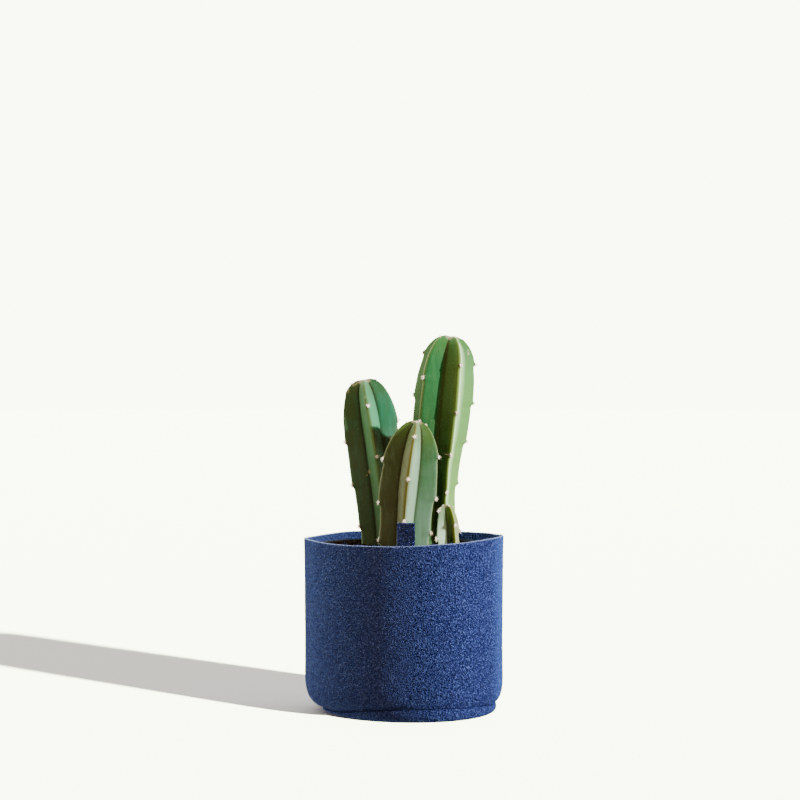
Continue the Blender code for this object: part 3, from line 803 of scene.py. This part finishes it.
def wall_outline(azimuth):
    """Closed (radius, height) outline of the cover's side: down outside, in at the seam and up inside."""
    rim = rim_height(azimuth) - EDGE_ROUND
    corner = around(CORNER_HEIGHT, azimuth)
    seam = (around(SEAM_RADIUS, azimuth), around(SEAM_HEIGHT, azimuth) + GAP)
    pull = (COVER_RADIUS, around(CORNER_PULL, azimuth))
    turned = (seam[0], seam[1] + CREASE_ROUND)
    outside = arc((COVER_TOP_RADIUS - EDGE_ROUND, rim), EDGE_ROUND, 90, 0, count=3)[:-1]
    outside += between((COVER_TOP_RADIUS, rim), (COVER_RADIUS, FLARE_HEIGHT), count=16)
    outside += between((COVER_RADIUS, FLARE_HEIGHT), (COVER_RADIUS, corner), count=30)
    outside += [curve_point((COVER_RADIUS, corner), pull, turned, index / 12) for index in range(12)]
    crease = arc((seam[0] - CREASE_ROUND, turned[1]), CREASE_ROUND, 0, -90, count=4)
    hem = seam[0] - HEM
    inner_radius = COVER_RADIUS - FELT
    inner_seam = (seam[0] - FELT, seam[1] + FELT)
    inner_pull = (inner_radius, max(pull[1], inner_seam[1]))
    inner_corner = (inner_radius, corner)
    inside = [(hem, seam[1]), (hem, seam[1] + FELT)]
    inside += [curve_point(inner_seam, inner_pull, inner_corner, index / 6) for index in range(6)]
    inside += between(inner_corner, (inner_radius, FLARE_HEIGHT), count=12)
    inside += between((inner_radius, FLARE_HEIGHT), (COVER_TOP_RADIUS - FELT, rim), count=10)
    inside += arc((COVER_TOP_RADIUS - FELT + EDGE_ROUND, rim), EDGE_ROUND, 180, 90, count=3)
    return outside + crease + inside


def felt_point(azimuth, radius, height):
    """Point of the cover: the felt swells in and out a little, and its back seam lies in a groove."""
    outward = compass(azimuth)
    spot = outward * COVER_RADIUS + Vector((0, 0, height))
    swell = FELT_SWELL * noise.noise(spot / FELT_SWELL_SIZE) * ease((height - SWELL_START) / SWELL_FADE)
    off_seam = (180 - abs(azimuth)) / BACK_SEAM_WIDTH
    groove = BACK_SEAM_DEPTH * exp(-off_seam * off_seam) * ease((radius - COVER_RADIUS + FELT) / FELT)
    return outward * (radius + swell - groove) + Vector((0, 0, height))


def cover_azimuths():
    """Azimuths round the cover, closer together at the seam down its back."""
    even = [-180 + 360 * index / COVER_STEPS for index in range(COVER_STEPS)]
    return sorted(even + [side * (180 - step) for side in (-1, 1) for step in BACK_SEAM_STEPS])


def felt_wall(felt):
    azimuths = cover_azimuths()
    bm = bmesh.new()
    cut, inside = (bm.verts.layers.float.new(name) for name in FELT_MAPS)
    rows = [[felt_point(azimuth, *place) for place in wall_outline(azimuth)] for azimuth in azimuths]
    rings = loft(bm, rows)
    for azimuth, ring in zip(azimuths, rings):
        rim = rim_height(azimuth)
        for vertex in ring:
            x, y, height = vertex.co
            # cut: painted highlight along the rim
            vertex[cut] = ease(1 - (rim - height) / EDGE_HIGHLIGHT)
            # inside: painted shade on the inner wall, towards its right and its left
            if height > FLARE_HEIGHT and hypot(x, y) < COVER_RADIUS - FELT / 2:
                vertex[inside] = max(x / COVER_RADIUS, 0.0) ** 3 - ease(-x / INSIDE_FADE)
    bmesh.ops.bridge_loops(bm, edges=ring_edges(bm, rings[0]) + ring_edges(bm, rings[-1]))
    add_piece("felt_wall_cloth", bm, felt, ["felt_wall"], sun="cover_key")


def base_outline(azimuth):
    """(radius, height) outline of the base: out over its underside, up to the seam and back on top."""
    floor = around(FLOOR_RADIUS, azimuth)
    seam_radius = around(SEAM_RADIUS, azimuth)
    height = around(SEAM_HEIGHT, azimuth)
    pull = (seam_radius + BASE_BULGE * height, BASE_LOW_PULL * height)
    top = (seam_radius, height - CREASE_ROUND)
    outline = between((BASE_MIDDLE, 0), (floor, 0), count=6)
    outline += [curve_point((floor, 0), pull, top, index / 8) for index in range(8)]
    outline += arc((seam_radius - CREASE_ROUND, top[1]), CREASE_ROUND, 0, 90, count=3)
    lift = max(height - FELT, 0.0)
    return outline + [
        (seam_radius - FELT, height),
        (seam_radius - FELT - DISH_SLANT * lift, min(height, FELT + DISH_LIFT * lift)),
        (min(floor, seam_radius - HEM) - FLAT_INSET, FELT),
        (BASE_MIDDLE, FELT),
    ]


def felt_base(felt):
    azimuths = [-180 + 360 * index / COVER_STEPS for index in range(COVER_STEPS)]
    spokes = [
        [compass(azimuth) * radius + Vector((0, 0, height)) for radius, height in base_outline(azimuth)]
        for azimuth in azimuths
    ]
    bm = bmesh.new()
    loft(bm, list(zip(*spokes)), capped=(0, -1))
    add_piece("felt_base_cloth", bm, felt, ["felt_base"], sun="cover_key")


def felt_tag(felt):
    """Plain tab of felt that stands up behind the front of the rim."""
    low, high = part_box("felt_tag")
    size = Vector(high) - Vector(low)
    bm = bmesh.new()
    cut = bm.verts.layers.float.new("cut")
    bmesh.ops.create_cube(bm, size=1.0)
    bmesh.ops.transform(bm, matrix=Matrix.Diagonal((*size, 1)), verts=bm.verts)
    bmesh.ops.bevel(
        bm, geom=bm.edges[:], offset=TAG_ROUND, affect="EDGES", segments=3, profile=0.5, material=-1
    )
    for axis, cuts in TAG_CUTS.items():
        spans = {edge: abs(edge.verts[0].co[axis] - edge.verts[1].co[axis]) for edge in bm.edges}
        long_edges = [edge for edge, span in spans.items() if span > size[axis] / 2]
        bmesh.ops.subdivide_edges(bm, edges=long_edges, cuts=cuts, use_grid_fill=True)
    for vertex in bm.verts:
        margin = min(size.x / 2 - abs(vertex.co.x), size.z / 2 - vertex.co.z)
        # painted highlight along the tab's edges
        vertex[cut] = TAG_EDGE_HIGHLIGHT * ease(1 - margin / EDGE_HIGHLIGHT)
        vertex.co.y += TAG_WAVE * noise.noise(vertex.co / TAG_WAVE_SIZE)
    bmesh.ops.translate(bm, vec=(Vector(low) + Vector(high)) / 2, verts=bm.verts)
    add_piece("felt_tag_cloth", bm, felt, ["felt_tag"], sun="tag_key")


def felt_fuzz(fluff):
    """Loose fibres that stand off the felt's outside and its cut rim."""
    draw = Random(4)
    shapes = [strand(length, FUZZ_RADIUS, 3, 4, bend, taper=0.4) for length, bend in FUZZ_SHAPES]
    places = []
    for index in range(FUZZ_COUNT + RIM_FUZZ_COUNT):
        azimuth = draw.uniform(-180, 180)
        outward, sideways = compass(azimuth), compass(azimuth + 90)
        rim = rim_height(azimuth)
        if index < FUZZ_COUNT:
            height = draw.uniform(around(CORNER_HEIGHT, azimuth), rim - EDGE_ROUND)
            share = max(height - FLARE_HEIGHT, 0) / (rim - FLARE_HEIGHT)
            radius = COVER_RADIUS + (COVER_TOP_RADIUS - COVER_RADIUS) * share
            lean, way = radians(draw.uniform(*FUZZ_LEAN)), draw.uniform(0, 2 * pi)
            across = sideways * cos(way) + Vector((0, 0, sin(way)))
            direction = outward * cos(lean) + across * sin(lean)
        else:
            height = rim - FUZZ_RADIUS
            radius = COVER_TOP_RADIUS - draw.uniform(*RIM_FUZZ_SPREAD) * FELT
            direction = Vector((draw.uniform(-1, 1), draw.uniform(-1, 1), RIM_FUZZ_RISE)).normalized()
        spot = felt_point(azimuth, radius, height)
        turn = pointing(direction, draw.uniform(0, 2 * pi))
        places.append((draw.randrange(len(shapes)), Matrix.Translation(spot) @ turn))
    add_piece("felt_fuzz", scatter(shapes, places), fluff, sun="cover_key")


def back_seam(thread):
    """Zigzag stitches that close the felt down its back."""
    stitch = strand(STITCH_LENGTH, STITCH_RADIUS, sides=6, segments=6, bend=STITCH_ARCH, taper=0.0)
    outward = compass(180)
    places = []
    for index in range(round((STITCH_TOP - STITCH_BOTTOM) / STITCH_SPACING)):
        lean = STITCH_LEAN if index % 2 else -STITCH_LEAN
        along = compass(90) * cos(lean) + Vector((0, 0, sin(lean)))
        middle = outward * (COVER_RADIUS - STITCH_SUNK)
        middle.z = STITCH_BOTTOM + STITCH_SPACING * index
        start = middle - along * STITCH_LENGTH * sin(STITCH_ARCH / 2) / STITCH_ARCH
        turn = set_square(start, -outward, along.cross(-outward), along)
        places.append((0, turn @ Matrix.Rotation(-STITCH_ARCH / 2, 4, "Y")))
    add_piece("back_seam_stitches", scatter([stitch], places), thread, sun="cover_key")


# Nursery pot and soil.
def pot_inner_radius(height):
    """Inner radius of the nursery pot's tapered wall."""
    share = (height - POT_FOOT) / (POT_RIM_BOTTOM - POT_FOOT)
    return POT_FLOOR_RADIUS + (POT_TOP_RADIUS - POT_FLOOR_RADIUS) * share - POT_WALL


def nursery_pot(plastic):
    floor_top = POT_FOOT + POT_WALL
    shoulder = POT_RIM_BOTTOM + POT_WALL
    rim_inner = POT_RIM_RADIUS - POT_RIM_WALL
    profile = [(0, POT_FOOT)]
    foot_middle = (POT_FLOOR_RADIUS - POT_FOOT_ROUND, POT_FOOT + POT_FOOT_ROUND)
    profile += arc(foot_middle, POT_FOOT_ROUND, -90, -8, count=4)
    profile += [(POT_TOP_RADIUS, POT_RIM_BOTTOM), (POT_RIM_RADIUS, POT_RIM_BOTTOM)]
    profile += arc((POT_RIM_RADIUS - POT_LIP_ROUND, POT_TOP - POT_LIP_ROUND), POT_LIP_ROUND, 0, 90, count=3)
    profile += arc((rim_inner + POT_LIP_ROUND, POT_TOP - POT_LIP_ROUND), POT_LIP_ROUND, 90, 180, count=3)
    profile += [
        (rim_inner, shoulder),
        (POT_TOP_RADIUS - POT_WALL, shoulder),
        (pot_inner_radius(floor_top), floor_top),
        (0, floor_top),
    ]
    bm = bmesh.new()
    ring = [bm.verts.new(POT_CENTRE + Vector((radius, 0, height))) for radius, height in profile]
    edges = [bm.edges.new(pair) for pair in zip(ring, ring[1:])]
    bmesh.ops.spin(
        bm,
        geom=ring + edges,
        cent=POT_CENTRE,
        axis=(0, 0, 1),
        angle=2 * pi,
        steps=POT_STEPS,
        use_merge=True,
    )
    bmesh.ops.remove_doubles(bm, verts=bm.verts, dist=WELD)
    pot = add_piece("nursery_pot_moulding", bm, plastic, ["nursery_pot"])
    drains = []
    for index in range(DRAIN_COUNT):
        place = POT_CENTRE + DRAIN_RING * compass(360 * index / DRAIN_COUNT) + Vector((0, 0, POT_FOOT))
        hole = bmesh.new()
        bmesh.ops.create_cone(
            hole,
            cap_ends=True,
            segments=24,
            radius1=DRAIN_RADIUS,
            radius2=DRAIN_RADIUS,
            depth=6 * POT_WALL,
            matrix=Matrix.Translation(place),
        )
        drains.append(hole)
    cut_out(pot, drains)


def soil_height(point):
    """Height of the soil's surface: a low crown with lumps and smaller crumbs in it."""
    share = min(hypot(point.x, point.y - POT_Y) / POT_TOP_RADIUS, 1.0)
    crown = SOIL_EDGE + SOIL_CROWN * (1 - share * share)
    flat = Vector((point.x, point.y, 0))
    lumps = SOIL_RELIEF * noise.noise(flat / SOIL_LUMP)
    return crown + lumps + SOIL_CRUMB_RELIEF * noise.noise(flat / SOIL_CRUMB)


def soil(earth):
    """Soil that fills the nursery pot, with a plain hole for each stem."""
    bottom = FELT + 2 * GAP + POT_WALL
    shoulder = POT_RIM_BOTTOM + POT_WALL + GAP
    turns = [compass(360 * index / SOIL_STEPS) for index in range(SOIL_STEPS)]

    def ring_points(radius, height=None):
        points = [POT_CENTRE + radius * turn for turn in turns]
        for point in points:
            point.z = soil_height(point) if height is None else height
        return points

    rows = [
        ring_points(pot_inner_radius(bottom) - GAP, bottom),
        ring_points(pot_inner_radius(POT_RIM_BOTTOM) - GAP, shoulder),
        ring_points(SOIL_RADIUS, shoulder),
    ]
    rows += [ring_points(SOIL_RADIUS * (1 - index / SOIL_RINGS)) for index in range(SOIL_RINGS + 1)]
    bm = bmesh.new()
    rings = loft(bm, rows, capped=(0,))
    bmesh.ops.pointmerge(bm, verts=rings[-1], merge_co=rows[-1][0])
    ground = add_piece("soil_body", bm, earth, ["soil"], sharp_angle=60)
    cut_out(ground, [stem_hole(stem) for stem in STEMS])


def in_a_stem(spot, margin):
    """Whether a spot on the soil lies in a stem's ribbed outline, or within a margin of it."""
    for stem in STEMS:
        offset = spot - Vector(stem.foot)
        azimuth = degrees(atan2(offset.x, -offset.y))
        pitch = 360 / stem.ribs
        from_crest = (azimuth - rib_azimuth(stem, 0, stem_length(stem)) + pitch / 2) % pitch - pitch / 2
        reach = stem.girth[0] * outline_reach(stem, abs(radians(from_crest)))
        if hypot(offset.x, offset.y) < reach + margin:
            return True
    return False


def soil_crumbs(name, material, seed, count, sizes, flatness):
    """Loose crumbs on the soil between the stems, their sizes from least to greatest."""
    draw = Random(seed)
    shapes = [lump(seed + index, CRUMB_ROUGHNESS) for index in range(CRUMB_SHAPES)]
    places = []
    while len(places) < count:
        size = draw.uniform(*sizes)
        away = sqrt(draw.random()) * (SOIL_RADIUS - size)
        spot = compass(draw.uniform(0, 360)) * away + POT_CENTRE
        if in_a_stem(spot, 0.5 * size):
            continue
        spot.z = soil_height(spot) + draw.uniform(*CRUMB_LIFT) * size * flatness
        lean = [draw.uniform(-CRUMB_TILT, CRUMB_TILT) for _ in range(2)]
        shape = Matrix.Diagonal((size, size * draw.uniform(*CRUMB_WIDTHS), size * flatness, 1))
        turn = pointing(Vector((*lean, 1)).normalized(), draw.uniform(0, 2 * pi))
        places.append((draw.randrange(len(shapes)), Matrix.Translation(spot) @ turn @ shape))
    add_piece(name, scatter(shapes, places), material, sharp_angle=20)


# Stems.
def stem_length(stem):
    foot, bend, tip = (Vector(point) for point in (stem.foot, stem.bend, stem.tip))
    return (bend - foot).length + (tip - bend).length


def stem_frame(stem, below_tip):
    """Middle of the stem at a distance below its tip, and the sideways, backward and upward directions."""
    foot, bend, tip = (Vector(point) for point in (stem.foot, stem.bend, stem.tip))
    share = 1 - below_tip / stem_length(stem)
    if share < 0:
        upward = (bend - foot).normalized()
        middle = foot + upward * share * stem_length(stem)
    else:
        upward = ((bend - foot) * (1 - share) + (tip - bend) * share).normalized()
        middle = Vector(curve_point(foot, bend, tip, share))
    sideways = (Vector((1, 0, 0)) - upward * upward.x).normalized()
    return middle, sideways, upward.cross(sideways), upward


def crest_reach(stem, below_tip):
    """Distance from the stem's middle line to its crests."""
    foot_girth, full_girth = stem.girth
    start, end = stem.narrowing
    girth = full_girth + (foot_girth - full_girth) * ease((below_tip - start) / (end - start))
    dome_length, power = stem.dome
    if below_tip < dome_length:
        girth *= (1 - (1 - below_tip / dome_length) ** 3) ** power
    buried = below_tip - stem_length(stem)
    if buried > 0:
        girth *= 1 - (1 - ROOT_TAPER) * buried / stem.root
    return girth


def outline_reach(stem, angle):
    """Reach of the ribbed outline at an angle from a crest, as a share of the crest's own reach."""
    half_pitch = pi / stem.ribs
    flank = SHARP_REACH * stem.valley * sin(half_pitch)
    flank /= SHARP_REACH * sin(angle) + stem.valley * sin(half_pitch - angle)
    flank += FLANK_BULGE * sin(pi * angle / half_pitch)
    middle = 1 - CREST_ROUND
    if angle >= asin(CREST_ROUND / middle):
        return flank
    return min(flank, middle * cos(angle) + sqrt(CREST_ROUND**2 - (middle * sin(angle)) ** 2))


def flank_turn(stem):
    """Angle in degrees between the azimuths of a rib's crest and of what its flanks face."""
    half_pitch = pi / stem.ribs
    return degrees(atan2(SHARP_REACH - stem.valley * cos(half_pitch), stem.valley * sin(half_pitch)))


def rib_azimuth(stem, rib, below_tip):
    return stem.turn + stem.twist * below_tip / stem_length(stem) + 360 * rib / stem.ribs


def surface_point(stem, below_tip, rib, angle, extra=0.0):
    """Point of the skin at an angle from a rib's crest, with valleys sunk square to the crests' line."""
    reach = crest_reach(stem, below_tip)
    slope = (crest_reach(stem, below_tip + SLOPE_STEP) - reach) / SLOPE_STEP
    slope = max(slope, 0.0) if below_tip < stem.dome[0] else 0.0
    depth = reach * (1 - outline_reach(stem, abs(angle)))
    level = hypot(1, slope)
    middle, sideways, backward, upward = stem_frame(stem, below_tip)
    turn = radians(rib_azimuth(stem, rib, below_tip)) + angle
    outward = sideways * sin(turn) - backward * cos(turn)
    return middle + outward * (reach - depth / level + extra) - upward * depth * slope / level


@cache
def areole_distances(stem, rib):
    """Distances below the tip of a rib's cushions, to past the foot of its root."""
    distances = list(stem.areoles[rib])
    while distances[-1] < stem_length(stem) + stem.root + ROOT_ROUND:
        distances.append(distances[-1] + stem.spacing)
    return distances


def skin_point(stem, below_tip, rib, angle):
    """Point of the uneven skin: each crest swells down to its next cushion and steps in below it."""
    crest = 1 - abs(angle) * stem.ribs / pi
    spot = surface_point(stem, below_tip, rib, angle)
    cushions = areole_distances(stem, rib)
    below = next(index for index, distance in enumerate(cushions) if distance > below_tip)
    start = cushions[below - 1] if below else cushions[0] - stem.spacing
    below_cushion = (below_tip - start) / (cushions[below] - start)
    chin = CHIN * (1 - 2 * (1 - below_cushion) * ease(below_cushion / CHIN_DROP)) * crest * crest
    rise = (chin + SKIN_SWELL * noise.noise(spot / SKIN_SWELL_SIZE)) * ease(below_tip / CHIN_FADE)
    return spot + (spot - stem_frame(stem, below_tip)[0]).normalized() * rise


def outline_places(stem, shares):
    """Rib and angle from its crest of each point once round the outline, from the first rib."""
    half_pitch = pi / stem.ribs
    angles = [-half_pitch * share for share in reversed(shares[1:-1])]
    angles += [half_pitch * share for share in shares]
    return [(rib, angle) for rib in range(stem.ribs) for angle in angles]


def root_rings(stem, extra=0.0):
    """Distance below the tip and narrowing of each ring in the soil, down to the rooted end."""
    ground, depth = stem_length(stem), stem.root - ROOT_ROUND
    ends = [(ground + depth + share * (ROOT_ROUND + extra), narrowed) for share, narrowed in ROOT_END]
    return [(ground, 1.0), (ground + depth / 2, 1.0), (ground + depth, 1.0), *ends]


def stem_rows(stem, point_at, places, rings):
    """Rows of points round the stem. Each ring is a distance below the tip and how far it is narrowed."""
    rows = []
    for below_tip, narrowed in rings:
        middle = stem_frame(stem, below_tip)[0]
        points = [point_at(stem, below_tip, *place) for place in places]
        rows.append([middle + (point - middle) * narrowed for point in points])
    return rows


def stem_hole(stem):
    """Plain ribbed plug, a little larger than the stem's foot, that cuts its hole in the soil."""

    def hole_point(stem, below_tip, rib, angle):
        return surface_point(stem, below_tip, rib, angle, HOLE_CLEARANCE)

    top = (stem_length(stem) - HOLE_ABOVE_SOIL, 1.0)
    rings = [top, *root_rings(stem, HOLE_CLEARANCE)]
    bm = bmesh.new()
    loft(bm, stem_rows(stem, hole_point, outline_places(stem, HOLE_STEPS), rings), capped=(0, -1))
    return bm


def skin_values(stem, below_tip, rib, angle):
    """What a point of the skin carries for its material: all of SKIN_MAPS but its scars."""
    crest = 1 - abs(angle) * stem.ribs / pi
    azimuth = (rib_azimuth(stem, rib, below_tip) + 180) % 360 - 180
    # shoulder is above 0 on front left shoulders, for the crest colour, and below 0 where the painted glare
    # goes
    shoulder = 0.0
    if angle < 0 and GLARE_VALLEYS[0] < azimuth < GLARE_VALLEYS[1]:
        shoulder = crest - 1
    elif angle <= 0:
        shoulder = crest * ease((cos(radians(azimuth)) - FRONT_START) / FRONT_FADE)
    elif GLARE_SHOULDERS[0] < azimuth < GLARE_SHOULDERS[1]:
        shoulder = -crest
    facing = azimuth + copysign(flank_turn(stem), angle)
    # sunward picks the painted light or shade of a flank
    sunward = cos(radians(facing - SUN_SIDE))
    # cast: painted shade in the valleys, and a painted shadow below sun_reach
    cast = 1 - ease(crest / NOTCH_WIDTH)
    if sunward > 0:
        in_shade = below_tip - SKINS[stem.name].sun_reach[rib]
        shade = ease(in_shade / SUN_FADE)
        sunward *= 1 - shade
        cast *= 1 - ease(below_tip / NOTCH_REACH)
        cast = max(cast, shade * (1 - CAST_LOSS * ease(in_shade / CAST_FADE)))
    return crest, shoulder, below_tip, sunward, cast


def stem_skin(stem):
    shown = stem_length(stem) - DOME_RINGS[-1]
    steps = round(shown / RING_STEP)
    distances = [(distance, 1.0) for distance in DOME_RINGS]
    distances += [(DOME_RINGS[-1] + shown * index / steps, 1.0) for index in range(1, steps)]
    distances += root_rings(stem)
    places = outline_places(stem, OUTLINE_STEPS)
    scars = [(skin_point(stem, *place), size) for name, place, size in SCARS if name == stem.name]
    bm = bmesh.new()
    *maps, scar = (bm.verts.layers.float.new(name) for name in SKIN_MAPS)
    rings = loft(bm, stem_rows(stem, skin_point, places, distances), capped=(-1,))
    for (below_tip, _), ring in zip(distances, rings):
        for vertex, place in zip(ring, places):
            for layer, value in zip(maps, skin_values(stem, below_tip, *place)):
                vertex[layer] = value
            nearness = [SCAR_EDGE - (vertex.co - spot).length / size for spot, size in scars]
            vertex[scar] = ease(max(nearness, default=0.0))
    cap = extrude_ring(bm, rings[0], [vertex.co.copy() for vertex in rings[0]])
    bmesh.ops.pointmerge(bm, verts=cap, merge_co=stem_frame(stem, 2 * DOME_RINGS[0])[0])
    skin = skin_material(stem)
    add_piece(stem.name + "_skin", bm, skin, [stem.name], sharp_angle=60, sun=stem.sun)


def cushion_places(stem):
    """Frame of each wool cushion above the soil, X sideways, Y outward, Z up the crest, size and rib."""
    for rib in range(stem.ribs):
        for below_tip in areole_distances(stem, rib):
            if below_tip > stem_length(stem) - SOIL_MARGIN:
                break
            place = skin_point(stem, below_tip, rib, 0.0)
            upward = surface_point(stem, below_tip - CREST_STEP, rib, 0.0)
            upward = (upward - surface_point(stem, below_tip, rib, 0.0)).normalized()
            sideways = upward.cross(place - stem_frame(stem, below_tip)[0]).normalized()
            yield set_square(place, sideways, sideways.cross(upward), upward), 1.0, rib


def tip_places(stem):
    """Frames of the small young cushions that crowd the growing tip, one on each rib."""
    for rib in range(stem.ribs):
        below_tip = TIP_CUSHION * (TIP_START + rib * 2 % stem.ribs / stem.ribs)
        place = skin_point(stem, below_tip, rib, 0.0)
        middle, _, _, upward = stem_frame(stem, below_tip)
        outward = ((place - middle).normalized() * TIP_LEAN + upward).normalized()
        sideways = upward.cross(outward).normalized()
        yield set_square(place, sideways, outward, sideways.cross(outward)), TIP_SHARE, rib


def wool_and_spines(stem, wool, horn):
    """A cushion of wool with short spines at every areole, on a dark horny foot."""
    draw = Random(len(stem.name) * 7 + stem.ribs)
    pads = [lump(seed, roughness=0.12) for seed in (21, 22, 23)]
    hairs = [strand(WOOL_LENGTH, WOOL_RADIUS, 3, 3, bend, taper=0.5) for bend in WOOL_BENDS]
    thorns = [strand(SPINE_LENGTH, SPINE_RADIUS, 6, 4, bend, taper=0.92) for bend in SPINE_BENDS]
    tufts, spikes = [], []

    def leaning(least, most):
        way, lean = draw.uniform(0, 2 * pi), radians(draw.uniform(least, most))
        return Vector((sin(lean) * cos(way), cos(lean), sin(lean) * sin(way)))

    for cushion, size, _ in [*cushion_places(stem), *tip_places(stem)]:
        middle = cushion @ Matrix.Translation((0, -CUSHION_SUNK * size, 0))
        pad = draw.randrange(len(pads))
        tufts.append((pad, middle @ Matrix.Diagonal((*[part * size for part in CUSHION], 1))))
        foot = middle @ Matrix.Diagonal((*[part * size for part in CUSHION_FOOT], 1))
        spikes.append((len(thorns), foot))
        for _ in range(WOOL_COUNT):
            direction = leaning(*WOOL_LEAN)
            root = Matrix.Translation(Vector(CUSHION) * WOOL_FOOT * size * direction)
            grown = Matrix.Scale(size * draw.uniform(*WOOL_SIZES), 4)
            hair = middle @ root @ pointing(direction, draw.uniform(0, 2 * pi)) @ grown
            tufts.append((len(pads) + draw.randrange(len(hairs)), hair))
        for _ in range(draw.choice(SPINE_COUNTS)):
            grown = Matrix.Scale(size * draw.uniform(*SPINE_SIZES), 4)
            thorn = draw.randrange(len(thorns))
            turn = pointing(leaning(*SPINE_LEAN), draw.uniform(0, 2 * pi))
            spikes.append((thorn, middle @ turn @ grown))
    columns = {}
    for cushion, _, rib in cushion_places(stem):
        columns.setdefault(rib, []).append(cushion)
    for name, rib, number, direction, length in LONG_SPINES:
        if name == stem.name:
            turn = pointing(Vector(direction).normalized(), 0.0)
            spikes.append((1, columns[rib][number] @ turn @ Matrix.Scale(length / SPINE_LENGTH, 4)))
    for ending, shapes, places, material in (
        ("_wool", pads + hairs, tufts, wool),
        ("_spines", thorns + pads[:1], spikes, horn),
    ):
        add_piece(stem.name + ending, scatter(shapes, places), material, sun="wool_key")


# Camera, light and floor.
def camera():
    lens = bpy.data.cameras.new("camera")
    lens.lens = CAMERA_LENS_MM
    lens.sensor_width = SENSOR_MM
    lens.clip_start = CAMERA_NEAR
    eye = bpy.data.objects.new("camera", lens)
    eye.location = CAMERA_PLACE
    eye.rotation_euler = (pi / 2, 0, 0)
    bpy.context.scene.collection.objects.link(eye)
    bpy.context.scene.camera = eye


def suns():
    """The suns, each with a collection for the pieces that it lights. Only the cover shades the cover."""
    for name, azimuth, height, power, colour in SUNS:
        lit = bpy.data.collections.new(name)
        bpy.context.scene.collection.children.link(lit)
        sun = bpy.data.lights.new(name, "SUN")
        sun.energy = power
        sun.color = colour
        sun.angle = radians(SUN_SIZE)
        lamp = bpy.data.objects.new(name, sun)
        lamp.rotation_euler = (pi / 2 - radians(height), 0, radians(azimuth))
        lamp.light_linking.receiver_collection = lit
        if name == "cover_key":
            lamp.light_linking.blocker_collection = lit
        bpy.context.scene.collection.objects.link(lamp)


def paper_floor():
    """Pale paper that takes the object's shadow, but throws no light back on it."""
    bm = bmesh.new()
    bmesh.ops.create_circle(bm, cap_ends=True, segments=96, radius=FLOOR_SIZE)
    mesh = finished_mesh(bm)
    paper = new_material("seamless paper", {"Base Color": tint("#9a98a0"), "Roughness": 0.9})[0]
    mesh.materials.append(paper)
    floor = bpy.data.objects.new("floor", mesh)
    bpy.data.collections["floor_key"].objects.link(floor)
    floor.location.z = -FLOOR_DROP
    floor.visible_diffuse = False
    floor.visible_glossy = False


def backdrop():
    """White backdrop: bright behind the object, dimmer in front and below, and pale to the camera."""
    world = bpy.data.worlds.new("studio")
    world.use_nodes = True
    tree = world.node_tree
    place = node(tree, "ShaderNodeTexCoord").outputs["Generated"]
    parts = node(tree, "ShaderNodeSeparateXYZ", {0: place}).outputs
    behind = node(
        tree,
        "ShaderNodeMapRange",
        {"Value": parts["Y"], "From Min": BACKDROP_EDGE[0], "From Max": BACKDROP_EDGE[1]},
        interpolation_type="SMOOTHSTEP",
    ).outputs[0]
    above = node(
        tree,
        "ShaderNodeMapRange",
        {"Value": parts["Z"], "From Min": HORIZON[0], "From Max": HORIZON[1], "To Min": LIGHT_FROM_BELOW},
    ).outputs[0]
    light = node(tree, "ShaderNodeMix", {0: behind, 6: FRONT_LIGHT, 7: BACKDROP_LIGHT}, data_type="RGBA")
    sockets = {0: light.outputs[2], "Scale": above}
    dimmed = node(tree, "ShaderNodeVectorMath", sockets, operation="SCALE").outputs[0]
    seen = node(tree, "ShaderNodeLightPath").outputs["Is Camera Ray"]
    shown = node(tree, "ShaderNodeMix", {0: seen, 6: dimmed, 7: BACKDROP_SEEN}, data_type="RGBA")
    tree.links.new(shown.outputs[2], tree.nodes["Background"].inputs["Color"])
    bpy.context.scene.world = world


camera()
suns()
paper_floor()
backdrop()
felt = felt_material()
felt_wall(felt)
felt_base(felt)
felt_tag(felt)
felt_fuzz(fibre_material("loose felt fibres", "#3f5a9e", "#24346a"))
back_seam(fibre_material("navy sewing thread", "#1c2646", "#33457a"))
nursery_pot(plastic_material())
soil(earth_material("potting soil", "#120f0d", "#1c1612", "#080706", 0.8 * MM))
for piece_name, earth, *numbers in CRUMBS:
    soil_crumbs(piece_name, earth_material(*earth), *numbers)
wool = fibre_material("areole wool", "#fffaf0", "#f4e0c4")
horn = fibre_material("spine horn", "#2c2019", "#5a3d29")
for cactus_stem in STEMS:
    stem_skin(cactus_stem)
    wool_and_spines(cactus_stem, wool, horn)
